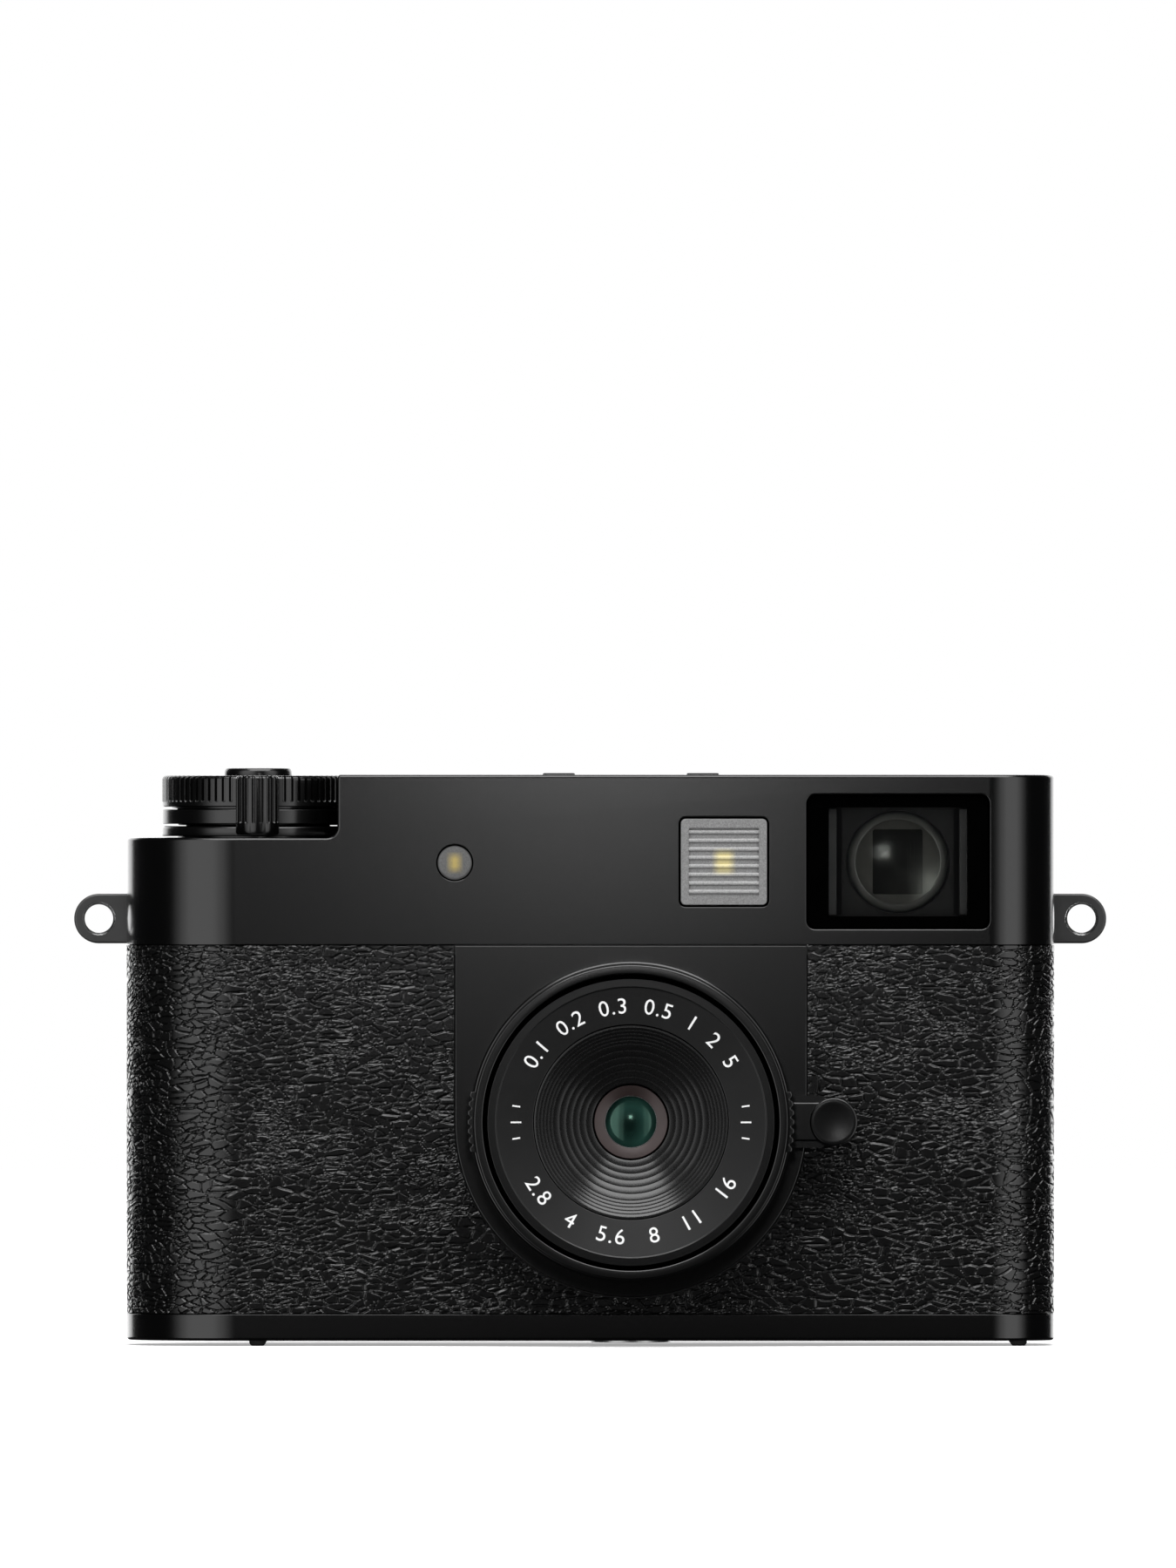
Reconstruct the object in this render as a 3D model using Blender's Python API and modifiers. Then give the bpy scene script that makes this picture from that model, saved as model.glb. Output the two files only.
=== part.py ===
"""Compact rangefinder-style camera, built as an assembly of separate pieces.

Frame: +Z up, the lens faces -Y, and the origin is on the surface the camera stands on, under the
middle of its box. Lengths below are in millimetres and become metres where a mesh is made.
"""

from math import acos, asin, cos, pi, radians, sin

import bmesh
import bpy
from mathutils import Matrix, Vector

MM = 0.001
GAP = 0.15  # between pieces that meet face to face
RUN = 0.3  # between pieces that turn or slide past each other

# Body: the plan outline and the heights where one cover meets the next
HALF_WIDTH = 52.9
FRONT_Y = -8.0
REAR_Y = 21.6
CORNER_RADII = (12.5, 7.5, 7.5, 10.0)  # front left, front right, rear right, rear left
CORNER_STEPS = 8
BASE_Z = 0.6
BASE_TOP_Z = 3.6
COVER_Z = 45.7
SHOULDER_Z = 57.9
TOP_Z = 65.05
WALL = 1.0
LEATHER = 0.6
FRAME_INSET = 0.7
FRAME_WALL = 1.4
MID_Y = (FRONT_Y + REAR_Y) / 2

# Lens: everything turned is measured forward of the front face
LENS_X = 4.63
LENS_Z = 25.58
LENS_LENGTH = 14.9
PANEL_RADIUS = 20.0
BARREL_RADIUS = 15.8
BARREL_BORE = 14.3
RING_BORE = BARREL_RADIUS + RUN
BEZEL_RADIUS = 17.9
BEZEL_BORE = 16.5
CONE_RADIUS = 11.0
EYE_RADIUS = 4.3
NAME_RING_HEIGHT = 13.35
PAD_RADIUS = 18.65
PAD_HALF_WIDTH = 3.7
FOCUS_RADIUS = 18.3
FOCUS_ARM_RADIUS = 23.07
KNOB_RADIUS = 2.72
BLADE_ARM = 9.0
BLADE_SWEEP = 60.0

# Top controls, which share one upright axis on the shoulder
STACK_X = -37.9
STACK_Y = 7.0
STACK_RADIUS = 10.96
NOTCH_WALL_X = -28.8
POCKET_RADIUS = 11.9
BUTTON_RADIUS = 3.87
BUTTON_TOP_Z = 65.84
POST_RADIUS = 5.0
POST_BORE = 4.15
STEM_RADIUS = 1.5
GRIP_RADIUS = 2.48
GRIP_REACH = 12.0
HUB_BORE = POST_RADIUS + RUN
SWITCH_Z = (58.05, 59.2)
LEVER_Z = (59.45, 61.1)
DIAL_Z = (61.4, 64.95)
LEVER_REACH = 15.0
LEVER_ANGLE = 100.0
SPRING_Z = (55.1, 63.15)

# Windows in the top cover: centre and size
FINDER_X, FINDER_Z = 35.05, 55.13
FINDER_SIZE = (20.8, 15.3)
FINDER_GLASS = (16.1, 12.4)
FLASH_X, FLASH_Z, FLASH_SIDE = 15.22, 55.13, 10.12
LAMP_X, LAMP_Z, LAMP_RADIUS = -15.42, 55.03, 2.1
EYEPIECE_OPENING = (13.2, 9.2)
EYEPIECE_FRAME = (17.5, 13.0)
EYEPIECE_PROUD = 1.3

# Accessory shoe, to ISO 518
SHOE_HALF = 10.05
SHOE_LIP_HALF = 6.35
SHOE_SHEET = 0.85
SHOE_FLOOR_Z = 62.3
SHOE_TOP_Z = 65.25
SHOE_Y = (-2.3, 16.0)

# Rear panel and displays
PANEL_LEFT, PANEL_RIGHT, PANEL_STEP_X = -22.0, 44.7, 24.5
PANEL_TOP_Z = 58.0
DISPLAY_X, DISPLAY_Z, DISPLAY_SIZE = 1.25, 31.4, (40.0, 52.0)
FILM_X, FILM_Z, FILM_SIZE = 34.5, 26.0, (11.0, 32.0)
REAR_BUTTONS = {"play_button": -31.0, "drive_button": -40.0}
REAR_BUTTON_Z = 51.8
REAR_BUTTON_RADIUS = 2.0

# Base, battery door and side port
FEET = {
    "foot_front_left": (-37.9, -3.9),
    "foot_front_right": (48.8, -3.5),
    "foot_rear_left": (-37.9, 18.2),
    "foot_rear_right": (48.8, 17.5),
}
FOOT_RADIUS = 0.95
SCREWS = {
    "base_screw_1": (-12.0, -4.6),
    "base_screw_2": (40.0, -4.6),
    "base_screw_3": (-12.0, 18.2),
    "base_screw_4": (40.0, 18.2),
}
SCREW_RADIUS = 1.3
SOCKET_RADIUS = 4.56
SOCKET_BORE = 3.1
DOOR_X = (-49.2, -15.8)
DOOR_FRONT_Y = -1.0
HINGE_Y, HINGE_Z = 14.4, 1.5
KNUCKLE_RADIUS = 0.85
PIN_RADIUS = 0.4
PIN_END = 0.3
PIN_LENGTH = DOOR_X[1] - DOOR_X[0] + 2 * PIN_END
EAR_WIDTH, EAR_REACH = 2.2, 1.0
PORT_Y = (1.5, 11.5)
PORT_Z = (12.0, 26.0)
LUG_RADIUS = 2.83
LUG_HOLE = 1.62
LUG_X = 56.08
LUG_Y = MID_Y + 1.25
LUG_Z = 48.64
LUG_HALF = 1.0

TURN_STEPS = 36
DEPTH = REAR_Y - FRONT_Y
FAR = 90  # past the whole camera, for cuts that are open at one side

COLOURS = {  # colour, metallic, roughness
    "black_paint": ((0.022, 0.022, 0.023), 0.35, 0.42),
    "black_metal": ((0.018, 0.018, 0.018), 0.6, 0.38),
    "black_plastic": ((0.016, 0.016, 0.016), 0.0, 0.5),
    "leatherette": ((0.02, 0.02, 0.021), 0.0, 0.6),
    "glass": ((0.05, 0.09, 0.08), 0.0, 0.05),
    "diffuser": ((0.62, 0.62, 0.6), 0.0, 0.45),
    "display": ((0.008, 0.008, 0.01), 0.0, 0.08),
    "rubber": ((0.02, 0.02, 0.02), 0.0, 0.8),
    "steel": ((0.55, 0.55, 0.55), 1.0, 0.35),
    "dark_metal": ((0.11, 0.11, 0.11), 0.8, 0.4),
    "circuit": ((0.02, 0.09, 0.05), 0.0, 0.5),
    "battery_case": ((0.1, 0.1, 0.11), 0.0, 0.5),
}


def clear_scene():
    for obj in list(bpy.data.objects):
        bpy.data.objects.remove(obj, do_unlink=True)


def make_collection(name):
    collection = bpy.data.collections.new(name)
    bpy.context.scene.collection.children.link(collection)
    return collection


def make_material(name):
    colour, metallic, roughness = COLOURS[name]
    material = bpy.data.materials.new(name)
    material.use_nodes = True
    shader = material.node_tree.nodes["Principled BSDF"]
    shader.inputs["Base Color"].default_value = (*colour, 1.0)
    shader.inputs["Metallic"].default_value = metallic
    shader.inputs["Roughness"].default_value = roughness
    return material


def make_axis(name, location, faces_front):
    """An empty whose local +Z is an axis: it points up, or forwards with local +X and +Y across and up."""
    axis = bpy.data.objects.new(name, None)
    axis.location = Vector(location) * MM
    axis.rotation_euler.x = radians(90) if faces_front else 0
    axis.empty_display_size = 10 * MM
    CAMERA.objects.link(axis)
    return axis


clear_scene()
CAMERA = make_collection("rangefinder_camera")
CUTTERS = make_collection("cutters")
MATERIALS = {name: make_material(name) for name in COLOURS}
FRONT_FACE = make_axis("front_face", (0, FRONT_Y, 0), faces_front=True)
LENS_AXIS = make_axis("lens_axis", (LENS_X, FRONT_Y, LENS_Z), faces_front=True)
DIAL_AXIS = make_axis("dial_axis", (STACK_X, STACK_Y, 0), faces_front=False)


# ---- Shapes ----


def add_object(name, mesh, material):
    """Puts a mesh in the camera, or among the hidden cutters where it has no material."""
    obj = bpy.data.objects.new(name, mesh)
    if material:
        mesh.materials.append(MATERIALS[material])
        CAMERA.objects.link(obj)
    else:
        CUTTERS.objects.link(obj)
        obj.hide_render = True
        obj.display_type = "WIRE"
    return obj


def mesh_from(bm, name):
    bmesh.ops.recalc_face_normals(bm, faces=bm.faces)
    mesh = bpy.data.meshes.new(name)
    bm.to_mesh(mesh)
    bm.free()
    mesh.shade_smooth()
    mesh.set_sharp_from_angle(angle=radians(35))
    return mesh


def prism(name, outline, low, high, material=None, parent=None, bevel_low=0.0, bevel_high=0.0):
    """Extrudes a closed outline from one height to another along its parent's axis, or upwards."""
    bm = bmesh.new()
    face = bm.faces.new([bm.verts.new((x * MM, y * MM, low * MM)) for x, y in outline])
    grown = bmesh.ops.extrude_face_region(bm, geom=[face])["geom"]
    raised = [v for v in grown if isinstance(v, bmesh.types.BMVert)]
    bmesh.ops.translate(bm, verts=raised, vec=(0, 0, (high - low) * MM))
    for height, width in ((low, bevel_low), (high, bevel_high)):
        if width:
            rim = [e for e in bm.edges if all(abs(v.co.z - height * MM) < 1e-7 for v in e.verts)]
            bmesh.ops.bevel(bm, geom=rim, offset=width * MM, segments=2, affect="EDGES", profile=0.5)
    obj = add_object(name, mesh_from(bm, name), material)
    obj.parent = parent
    return obj


def turned(name, profile, material=None, parent=None, centre=(0, 0, 0), steps=TURN_STEPS):
    """Turns a profile of (radius, height) points, listed clockwise with the radius to the right.
    A profile that never reaches the axis is a ring, so it is closed on itself."""
    mesh = bpy.data.meshes.new(name)
    points = [(r * MM, 0, h * MM) for r, h in profile]
    edges = [(i, i + 1) for i in range(len(points) - 1)]
    if profile[0][0] > 0:
        edges.append((len(points) - 1, 0))
    mesh.from_pydata(points, edges, [])
    obj = add_object(name, mesh, material)
    screw = obj.modifiers.new("turn", "SCREW")
    screw.axis = "Z"
    screw.angle = 2 * pi
    screw.steps = screw.render_steps = steps
    screw.use_merge_vertices = True
    screw.merge_threshold = 0.00001
    screw.use_smooth_shade = True
    obj.location = Vector(centre) * MM
    obj.parent = parent
    return obj


def block(name, low, high, material=None, bevel=0.0, origin=None):
    """A box between two corners, with an optional bevel on all its edges. Its origin is its middle
    unless another is given, such as a point on its hinge."""
    low, high = Vector(low), Vector(high)
    middle = (low + high) / 2
    origin = middle if origin is None else Vector(origin)
    bm = bmesh.new()
    bmesh.ops.create_cube(bm, size=MM)
    bmesh.ops.scale(bm, vec=high - low, verts=bm.verts)
    bmesh.ops.translate(bm, vec=(middle - origin) * MM, verts=bm.verts)
    obj = add_object(name, mesh_from(bm, name), material)
    obj.location = origin * MM
    if bevel:
        rounding = obj.modifiers.new("edges", "BEVEL")
        rounding.width = bevel * MM
        rounding.segments = 2
    return obj


def rod(name, radius, start, length, material=None, parent=None, steps=24, along_x=False):
    """A cylinder that starts at a point and runs along its parent's axis, or up, or along +X."""
    bm = bmesh.new()
    bmesh.ops.create_cone(
        bm, cap_ends=True, segments=steps, radius1=radius * MM, radius2=radius * MM, depth=length * MM
    )
    bmesh.ops.translate(bm, verts=bm.verts, vec=(0, 0, length * MM / 2))
    obj = add_object(name, mesh_from(bm, name), material)
    obj.location = Vector(start) * MM
    obj.rotation_euler.y = radians(90) if along_x else 0
    obj.parent = parent
    return obj


def combine(obj, *others, operation="DIFFERENCE"):
    for other in others:
        step = obj.modifiers.new(other.name, "BOOLEAN")
        step.operation = operation
        step.solver = "EXACT"
        step.object = other
    return obj


def join(obj, *others):
    return combine(obj, *others, operation="UNION")


# ---- Outlines ----


def rounded(x0, x1, y0, y1, radii, steps=CORNER_STEPS):
    """A rectangle with rounded corners, anticlockwise from the low corner."""
    if not isinstance(radii, tuple):
        radii = (radii,) * 4
    signs = ((1, 1), (-1, 1), (-1, -1), (1, -1))
    corners = ((x0, y0), (x1, y0), (x1, y1), (x0, y1))
    points = []
    for turn, ((x, y), (sx, sy), r) in enumerate(zip(corners, signs, radii)):
        for i in range(steps + 1):
            angle = radians(180 + 90 * turn + 90 * i / steps)
            points.append((x + sx * r + r * cos(angle), y + sy * r + r * sin(angle)))
    return points


def centred(x, z, size, radius, steps=3):
    half_x, half_z = size[0] / 2, size[1] / 2
    return rounded(x - half_x, x + half_x, z - half_z, z + half_z, radius, steps)


def body_plan(inset):
    """The body's outline seen from above, moved inwards."""
    return rounded(
        inset - HALF_WIDTH,
        HALF_WIDTH - inset,
        FRONT_Y + inset,
        REAR_Y - inset,
        tuple(r - inset for r in CORNER_RADII),
    )


def notch_plan(grow):
    """What the shoulder leaves open: everything left of the wall, and a round pocket for the dials."""
    wall, radius = NOTCH_WALL_X + grow, POCKET_RADIUS + grow
    half_angle, steps = acos((wall - STACK_X) / radius), 12
    angles = [half_angle * (2 * i / steps - 1) for i in range(steps + 1)]
    pocket = [(STACK_X + radius * cos(a), STACK_Y + radius * sin(a)) for a in angles]
    return [(-FAR, -FAR), (wall, -FAR), *pocket, (wall, FAR), (-FAR, FAR)]


def shield(radius, top):
    """The lens panel seen from the front, on the lens axis: straight sides over a half circle."""
    steps = 24
    arc = [(radius * cos(a), radius * sin(a)) for a in [pi + pi * i / steps for i in range(steps + 1)]]
    return [*arc, (radius, top - LENS_Z), (-radius, top - LENS_Z)]


def lug_outline(side):
    """A bar with one round end, which points away from the body. Side is -1 on the left, 1 on the right."""
    steps, root = 12, 50.4
    angles = [pi / 2 - pi * i / steps for i in range(steps + 1)]
    arc = [(side * (LUG_X + LUG_RADIUS * cos(a)), LUG_Z + LUG_RADIUS * sin(a)) for a in angles]
    return [*arc, (side * root, LUG_Z - LUG_RADIUS), (side * root, LUG_Z + LUG_RADIUS)]


def dished(radius, rim_height, middle_height, steps):
    """Points of a domed or hollow face, from near its middle to its rim, on a parabola."""
    fall = rim_height - middle_height
    return [(radius * i / steps, middle_height + fall * (i / steps) ** 2) for i in range(1, steps + 1)]


# ---- Casing ----


def make_top_cover():
    cover = prism("top_cover", body_plan(0), COVER_Z, TOP_Z, "black_paint", bevel_high=0.5)
    cavity = prism("cut_cover_cavity", body_plan(WALL), COVER_Z - FAR, TOP_Z - WALL)
    cavity_notch = prism("cut_cavity_notch", notch_plan(WALL), SHOULDER_Z - WALL, FAR)
    shoe_floor = SHOE_FLOOR_Z - SHOE_SHEET - GAP
    shell, shoe_half = WALL + GAP, SHOE_HALF + GAP
    shoe_shell = block(
        "cut_cavity_shoe",
        (LENS_X - SHOE_HALF - shell, SHOE_Y[0] - shell, shoe_floor - WALL),
        (LENS_X + SHOE_HALF + shell, FAR, FAR),
    )
    combine(cavity, cavity_notch, shoe_shell)
    shoe_low, shoe_high = (LENS_X - shoe_half, SHOE_Y[0] - GAP, shoe_floor), (LENS_X + shoe_half, FAR, FAR)
    shoe = block("cut_shoe", shoe_low, shoe_high)
    display = block(
        "cut_display", (PANEL_LEFT - GAP, REAR_Y - 4, 0), (PANEL_STEP_X + GAP, FAR, PANEL_TOP_Z + GAP)
    )
    notch = prism("cut_notch", notch_plan(0), SHOULDER_Z, FAR)
    lamp = rod("cut_lamp", LAMP_RADIUS, (LAMP_X, LAMP_Z, -5), 10, parent=FRONT_FACE)
    finder = prism("cut_finder", centred(FINDER_X, FINDER_Z, FINDER_SIZE, 1.0), -5, 5, parent=FRONT_FACE)
    flash = prism("cut_flash", centred(FLASH_X, FLASH_Z, (FLASH_SIDE,) * 2, 0.7), -5, 5, parent=FRONT_FACE)
    eyepiece_outline = centred(FINDER_X, FINDER_Z, EYEPIECE_OPENING, 1.0)
    eyepiece = prism("cut_eyepiece", eyepiece_outline, -DEPTH - 5, -DEPTH + 5, parent=FRONT_FACE)
    post = rod("cut_post", POST_RADIUS + GAP, (0, 0, SHOULDER_Z - 5), 10, parent=DIAL_AXIS)
    buttons = [
        rod(f"cut_{name}", REAR_BUTTON_RADIUS + GAP, (x, REAR_BUTTON_Z, -DEPTH - 5), 10, parent=FRONT_FACE)
        for name, x in REAR_BUTTONS.items()
    ]
    lugs = []
    for side in (-1, 1):
        x0, x1 = sorted((side * (HALF_WIDTH - 4), side * (HALF_WIDTH + 3)))
        low = (x0, LUG_Y - LUG_HALF - GAP, 0)
        lugs.append(block(f"cut_lug_{x0:.0f}", low, (x1, LUG_Y + LUG_HALF + GAP, LUG_Z + LUG_RADIUS + GAP)))
    combine(cover, notch, cavity, shoe, display, lamp, finder, flash, eyepiece, post, *buttons, *lugs)


def make_base_cover():
    """A tray with a door opening, and two ears that carry the door's pin."""
    base = prism("base_cover", body_plan(0), BASE_Z, BASE_TOP_Z, "black_paint", bevel_low=0.5)
    cavity = prism("cut_base_cavity", body_plan(WALL), BASE_Z + WALL, FAR)
    door = block(
        "cut_door",
        (DOOR_X[0] - GAP, DOOR_FRONT_Y - GAP, -FAR),
        (DOOR_X[1] + GAP, HINGE_Y + KNUCKLE_RADIUS + RUN, FAR),
    )
    holes = [rod("cut_socket", SOCKET_RADIUS + GAP, (LENS_X, MID_Y, 0), 5, steps=32)]
    for places, radius in ((FEET, FOOT_RADIUS + GAP), (SCREWS, SCREW_RADIUS + GAP)):
        holes += [rod(f"cut_{name}", radius, (x, y, 0), 5, steps=16) for name, (x, y) in places.items()]
    ears = []
    for x in (DOOR_X[0] + EAR_REACH - EAR_WIDTH, DOOR_X[1] - EAR_REACH):
        low, high = (x, HINGE_Y - 0.9, BASE_Z + 0.2), (x + EAR_WIDTH, HINGE_Y + 1.8, HINGE_Z + 1.1)
        ears.append(block(f"ear_{x:.0f}", low, high))
    pin_start = (DOOR_X[0] - PIN_END - GAP, HINGE_Y, HINGE_Z)
    pin = rod("cut_pin", PIN_RADIUS + GAP, pin_start, PIN_LENGTH + 2 * GAP, steps=12, along_x=True)
    join(combine(base, cavity, door, *holes), *ears)
    combine(base, pin)


def make_body_frame():
    low, high = BASE_TOP_Z + GAP, COVER_Z - GAP
    frame = prism("body_frame", body_plan(FRAME_INSET), low, high, "black_plastic")
    inside = prism("cut_frame_inside", body_plan(FRAME_INSET + FRAME_WALL), 0, FAR)
    lens = rod("cut_frame_lens", RING_BORE + 0.5, (0, 0, -10), 20, parent=LENS_AXIS, steps=TURN_STEPS)
    rear_low, rear_high = (DISPLAY_X - 20.5, REAR_Y - 9, 4.9), (FILM_X + 6.3, FAR, FAR)
    combine(frame, inside, lens, block("cut_frame_rear", rear_low, rear_high), port_opening("cut_frame_port"))


def port_opening(name):
    return block(name, (45, PORT_Y[0] - GAP, PORT_Z[0] - GAP), (60, PORT_Y[1] + RUN, PORT_Z[1] + GAP))


def make_leather_wrap():
    """One skin round the front and both ends, left open at the lens panel, the port and the rear panel."""
    edge = 0.1
    wrap = prism("leather_wrap", body_plan(0), BASE_TOP_Z + edge, COVER_Z - edge, "leatherette")
    inside = prism("cut_wrap_inside", body_plan(LEATHER), 0, FAR)
    rear = block("cut_wrap_rear", (PANEL_LEFT - GAP, MID_Y, 0), (PANEL_RIGHT + GAP, FAR, FAR))
    panel = prism("cut_wrap_panel", shield(PANEL_RADIUS + GAP, FAR), -5, 5, parent=LENS_AXIS)
    combine(wrap, inside, rear, panel, port_opening("cut_wrap_port"))


def make_lens_panel():
    panel = prism("lens_panel", shield(PANEL_RADIUS, COVER_Z - GAP), -LEATHER, 0, "black_paint", LENS_AXIS)
    combine(panel, rod("cut_panel_hole", RING_BORE + 0.2, (0, 0, -5), 10, parent=LENS_AXIS, steps=TURN_STEPS))


def make_rear_panel():
    low, high = BASE_TOP_Z + GAP, COVER_Z - GAP
    outline = [
        (PANEL_LEFT, low),
        (PANEL_RIGHT, low),
        (PANEL_RIGHT, high),
        (PANEL_STEP_X, high),
        (PANEL_STEP_X, PANEL_TOP_Z),
        (PANEL_LEFT, PANEL_TOP_Z),
    ]
    panel = prism("rear_panel", outline, -DEPTH, LEATHER - DEPTH, "black_plastic", FRONT_FACE)
    for name, x, z, size in (
        ("main_display", DISPLAY_X, DISPLAY_Z, DISPLAY_SIZE),
        ("film_display", FILM_X, FILM_Z, FILM_SIZE),
    ):
        prism(name, centred(x, z, size, 0.65), 0.1 - DEPTH, 2.4 - DEPTH, "display", FRONT_FACE)
        window = centred(x, z, (size[0] + 2 * GAP, size[1] + 2 * GAP), 0.8)
        combine(panel, prism(f"cut_{name}", window, -DEPTH - 5, -DEPTH + 5, parent=FRONT_FACE))


# ---- Fittings on the casing ----


def make_lugs():
    forward = FRONT_Y - LUG_Y
    for name, side in (("lug_left", -1), ("lug_right", 1)):
        lug = prism(name, lug_outline(side), forward - LUG_HALF, forward + LUG_HALF, "dark_metal", FRONT_FACE)
        place = (side * LUG_X, LUG_Z, forward - 5)
        eye = rod(f"cut_eye_{name}", LUG_HOLE, place, 10, parent=FRONT_FACE, steps=20)
        combine(lug, eye)


def make_shoe():
    """A folded channel: a floor that runs to the rear, two walls, and two lips over the foot's slot."""
    under, lip = SHOE_FLOOR_Z - SHOE_SHEET, SHOE_TOP_Z - SHOE_SHEET
    wall = SHOE_HALF - SHOE_SHEET
    half = [(wall, SHOE_FLOOR_Z), (wall, lip), (SHOE_LIP_HALF, lip), (SHOE_LIP_HALF, SHOE_TOP_Z)]
    half += [(SHOE_HALF, SHOE_TOP_Z), (SHOE_HALF, under)]
    outline = [(LENS_X + x, z) for x, z in half] + [(LENS_X - x, z) for x, z in reversed(half)]
    shoe = prism("shoe_rails", outline, FRONT_Y - SHOE_Y[1], FRONT_Y - SHOE_Y[0], "black_metal", FRONT_FACE)
    tail = block(
        "shoe_tail",
        (LENS_X - SHOE_HALF, SHOE_Y[1] - 1, under),
        (LENS_X + SHOE_HALF, REAR_Y - GAP, SHOE_FLOOR_Z),
    )
    join(shoe, tail)
    block(
        "shoe_spring",
        (LENS_X - wall + 0.35, SHOE_Y[0] + 1.5, lip - 0.55),
        (LENS_X - SHOE_LIP_HALF - 0.5, SHOE_Y[1] - 1.5, lip - 0.1),
        "steel",
    )


def make_tripod_socket():
    """A blind threaded bush with a flange that shows in the base."""
    low, flange_top, floor, top = 0.3, BASE_Z + WALL - 0.1, 5.6, 6.5
    profile = [
        (0, top),
        (SOCKET_RADIUS - 0.3, top),
        (SOCKET_RADIUS - 0.3, flange_top),
        (SOCKET_RADIUS, flange_top),
        (SOCKET_RADIUS, low),
        (SOCKET_BORE, low),
        (SOCKET_BORE, floor),
        (0, floor),
    ]
    turned("tripod_socket", profile, "steel", centre=(LENS_X, MID_Y, 0), steps=32)


def make_feet_and_screws():
    for name, (x, y) in FEET.items():
        rod(name, FOOT_RADIUS, (x, y, 0), 1.5, "rubber", steps=16)
    low, high, head, stem, tip = BASE_Z + 0.1, BASE_Z + 0.8, SCREW_RADIUS, 0.6, 3.2
    profile = [(0, tip), (stem, tip), (stem, high), (head, high), (head, low), (0, low)]
    for name, (x, y) in SCREWS.items():
        turned(name, profile, "black_metal", centre=(x, y, 0), steps=16)


def make_battery_bay():
    """A box that is open at the bottom, and the battery standing in it."""
    low, high = Vector((DOOR_X[0] - 0.2, DOOR_FRONT_Y + 0.7, 3.2)), Vector((DOOR_X[1] + 0.9, 11.6, 50.0))
    wall, clear = Vector((0.9, 0.9, 0.9)), Vector((1.1, 1.1, 2.5))
    bay = block("battery_box", low, high, "black_plastic")
    combine(bay, block("cut_bay", low + wall - Vector((0, 0, 5)), high - wall))
    block("battery", low + clear - Vector((0, 0, 3.3)), high - clear, "battery_case", bevel=0.8)


def make_battery_door():
    """The door plate hangs on a knuckle at its rear edge, and its latch slides in a pocket near the front."""
    (x0, x1), hinge = DOOR_X, (0, HINGE_Y, HINGE_Z)
    plate_end = HINGE_Y - 1.35  # the plate's edge swings clear of the ears
    low, high = (x0, DOOR_FRONT_Y, BASE_Z), (x1, plate_end, BASE_Z + WALL)
    door = block("battery_door", low, high, "black_paint", origin=hinge)
    inner = EAR_REACH + RUN
    web = block("door_web", (x0 + inner, plate_end - 1, HINGE_Z - 0.6), (x1 - inner, HINGE_Y, HINGE_Z + 0.1))
    length = x1 - x0 - 2 * inner
    start = (x0 + inner, HINGE_Y, HINGE_Z)
    knuckle = rod("door_knuckle", KNUCKLE_RADIUS, start, length, steps=16, along_x=True)
    bore = rod("cut_knuckle", PIN_RADIUS + GAP, (x0, HINGE_Y, HINGE_Z), x1 - x0, steps=12, along_x=True)
    latch = Vector(((x0 + x1) / 2, DOOR_FRONT_Y + 3.4, BASE_Z + 0.05))
    pocket = block("cut_latch", latch + Vector((-5, -2, -1)), latch + Vector((5, 2, 0.5)))
    combine(join(door, web, knuckle), bore, pocket)
    block("door_latch", latch + Vector((-4.7, -1.7, 0)), latch + Vector((0.5, 1.7, 0.35)), "black_plastic")
    pin_start = (x0 - PIN_END, HINGE_Y, HINGE_Z)
    rod("door_pin", PIN_RADIUS, pin_start, PIN_LENGTH, "steel", steps=12, along_x=True)


def make_port():
    low, high = (HALF_WIDTH - WALL, PORT_Y[0], PORT_Z[0]), (HALF_WIDTH, PORT_Y[1], PORT_Z[1])
    hinge = (HALF_WIDTH - WALL / 2, PORT_Y[1] - 0.5, PORT_Z[0])
    block("port_door", low, high, "black_plastic", origin=hinge)
    socket = block("usb_socket", (43.0, 4.6, 14.0), (50.4, 8.4, 24.0), "steel")
    combine(socket, block("cut_usb", (44.2, 5.2, 14.6), (55.0, 7.8, 23.4)))


# ---- Windows and finder ----


def make_finder():
    outer = centred(FINDER_X, FINDER_Z, (FINDER_SIZE[0] - 2 * GAP, FINDER_SIZE[1] - 2 * GAP), 0.85)
    frame = prism("finder_frame", outer, -2.0, -0.5, "black_plastic", FRONT_FACE)
    inner = centred(FINDER_X, FINDER_Z, FINDER_GLASS, 0.3)
    combine(frame, prism("cut_finder_glass", inner, -5, 5, parent=FRONT_FACE))
    pane = (FINDER_GLASS[0] - 2 * GAP, FINDER_GLASS[1] - 2 * GAP)
    prism("finder_window", centred(FINDER_X, FINDER_Z, pane, 0.2), -1.6, -0.9, "glass", FRONT_FACE)
    low, high = (FINDER_X - 9.4, FRONT_Y + 4, FINDER_Z - 7.2), (FINDER_X + 9.4, REAR_Y - 4, FINDER_Z + 7.2)
    tube = block("finder_tube", low, high, "black_plastic")
    mouth = rod("cut_tube_mouth", 5.95, (FINDER_X, FINDER_Z, -7.5), 10, parent=FRONT_FACE, steps=32)
    tunnel = prism("cut_tube", centred(FINDER_X, FINDER_Z, (5.6, 7.4), 0.2), -DEPTH, 0, parent=FRONT_FACE)
    combine(tube, mouth, tunnel)
    objective = [(0, 2.2), *dished(5.8, 1.0, 2.2, 5), (5.8, 0), (0, 0)]
    turned("finder_objective", objective, "glass", FRONT_FACE, (FINDER_X, FINDER_Z, -6.8), 32)


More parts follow.
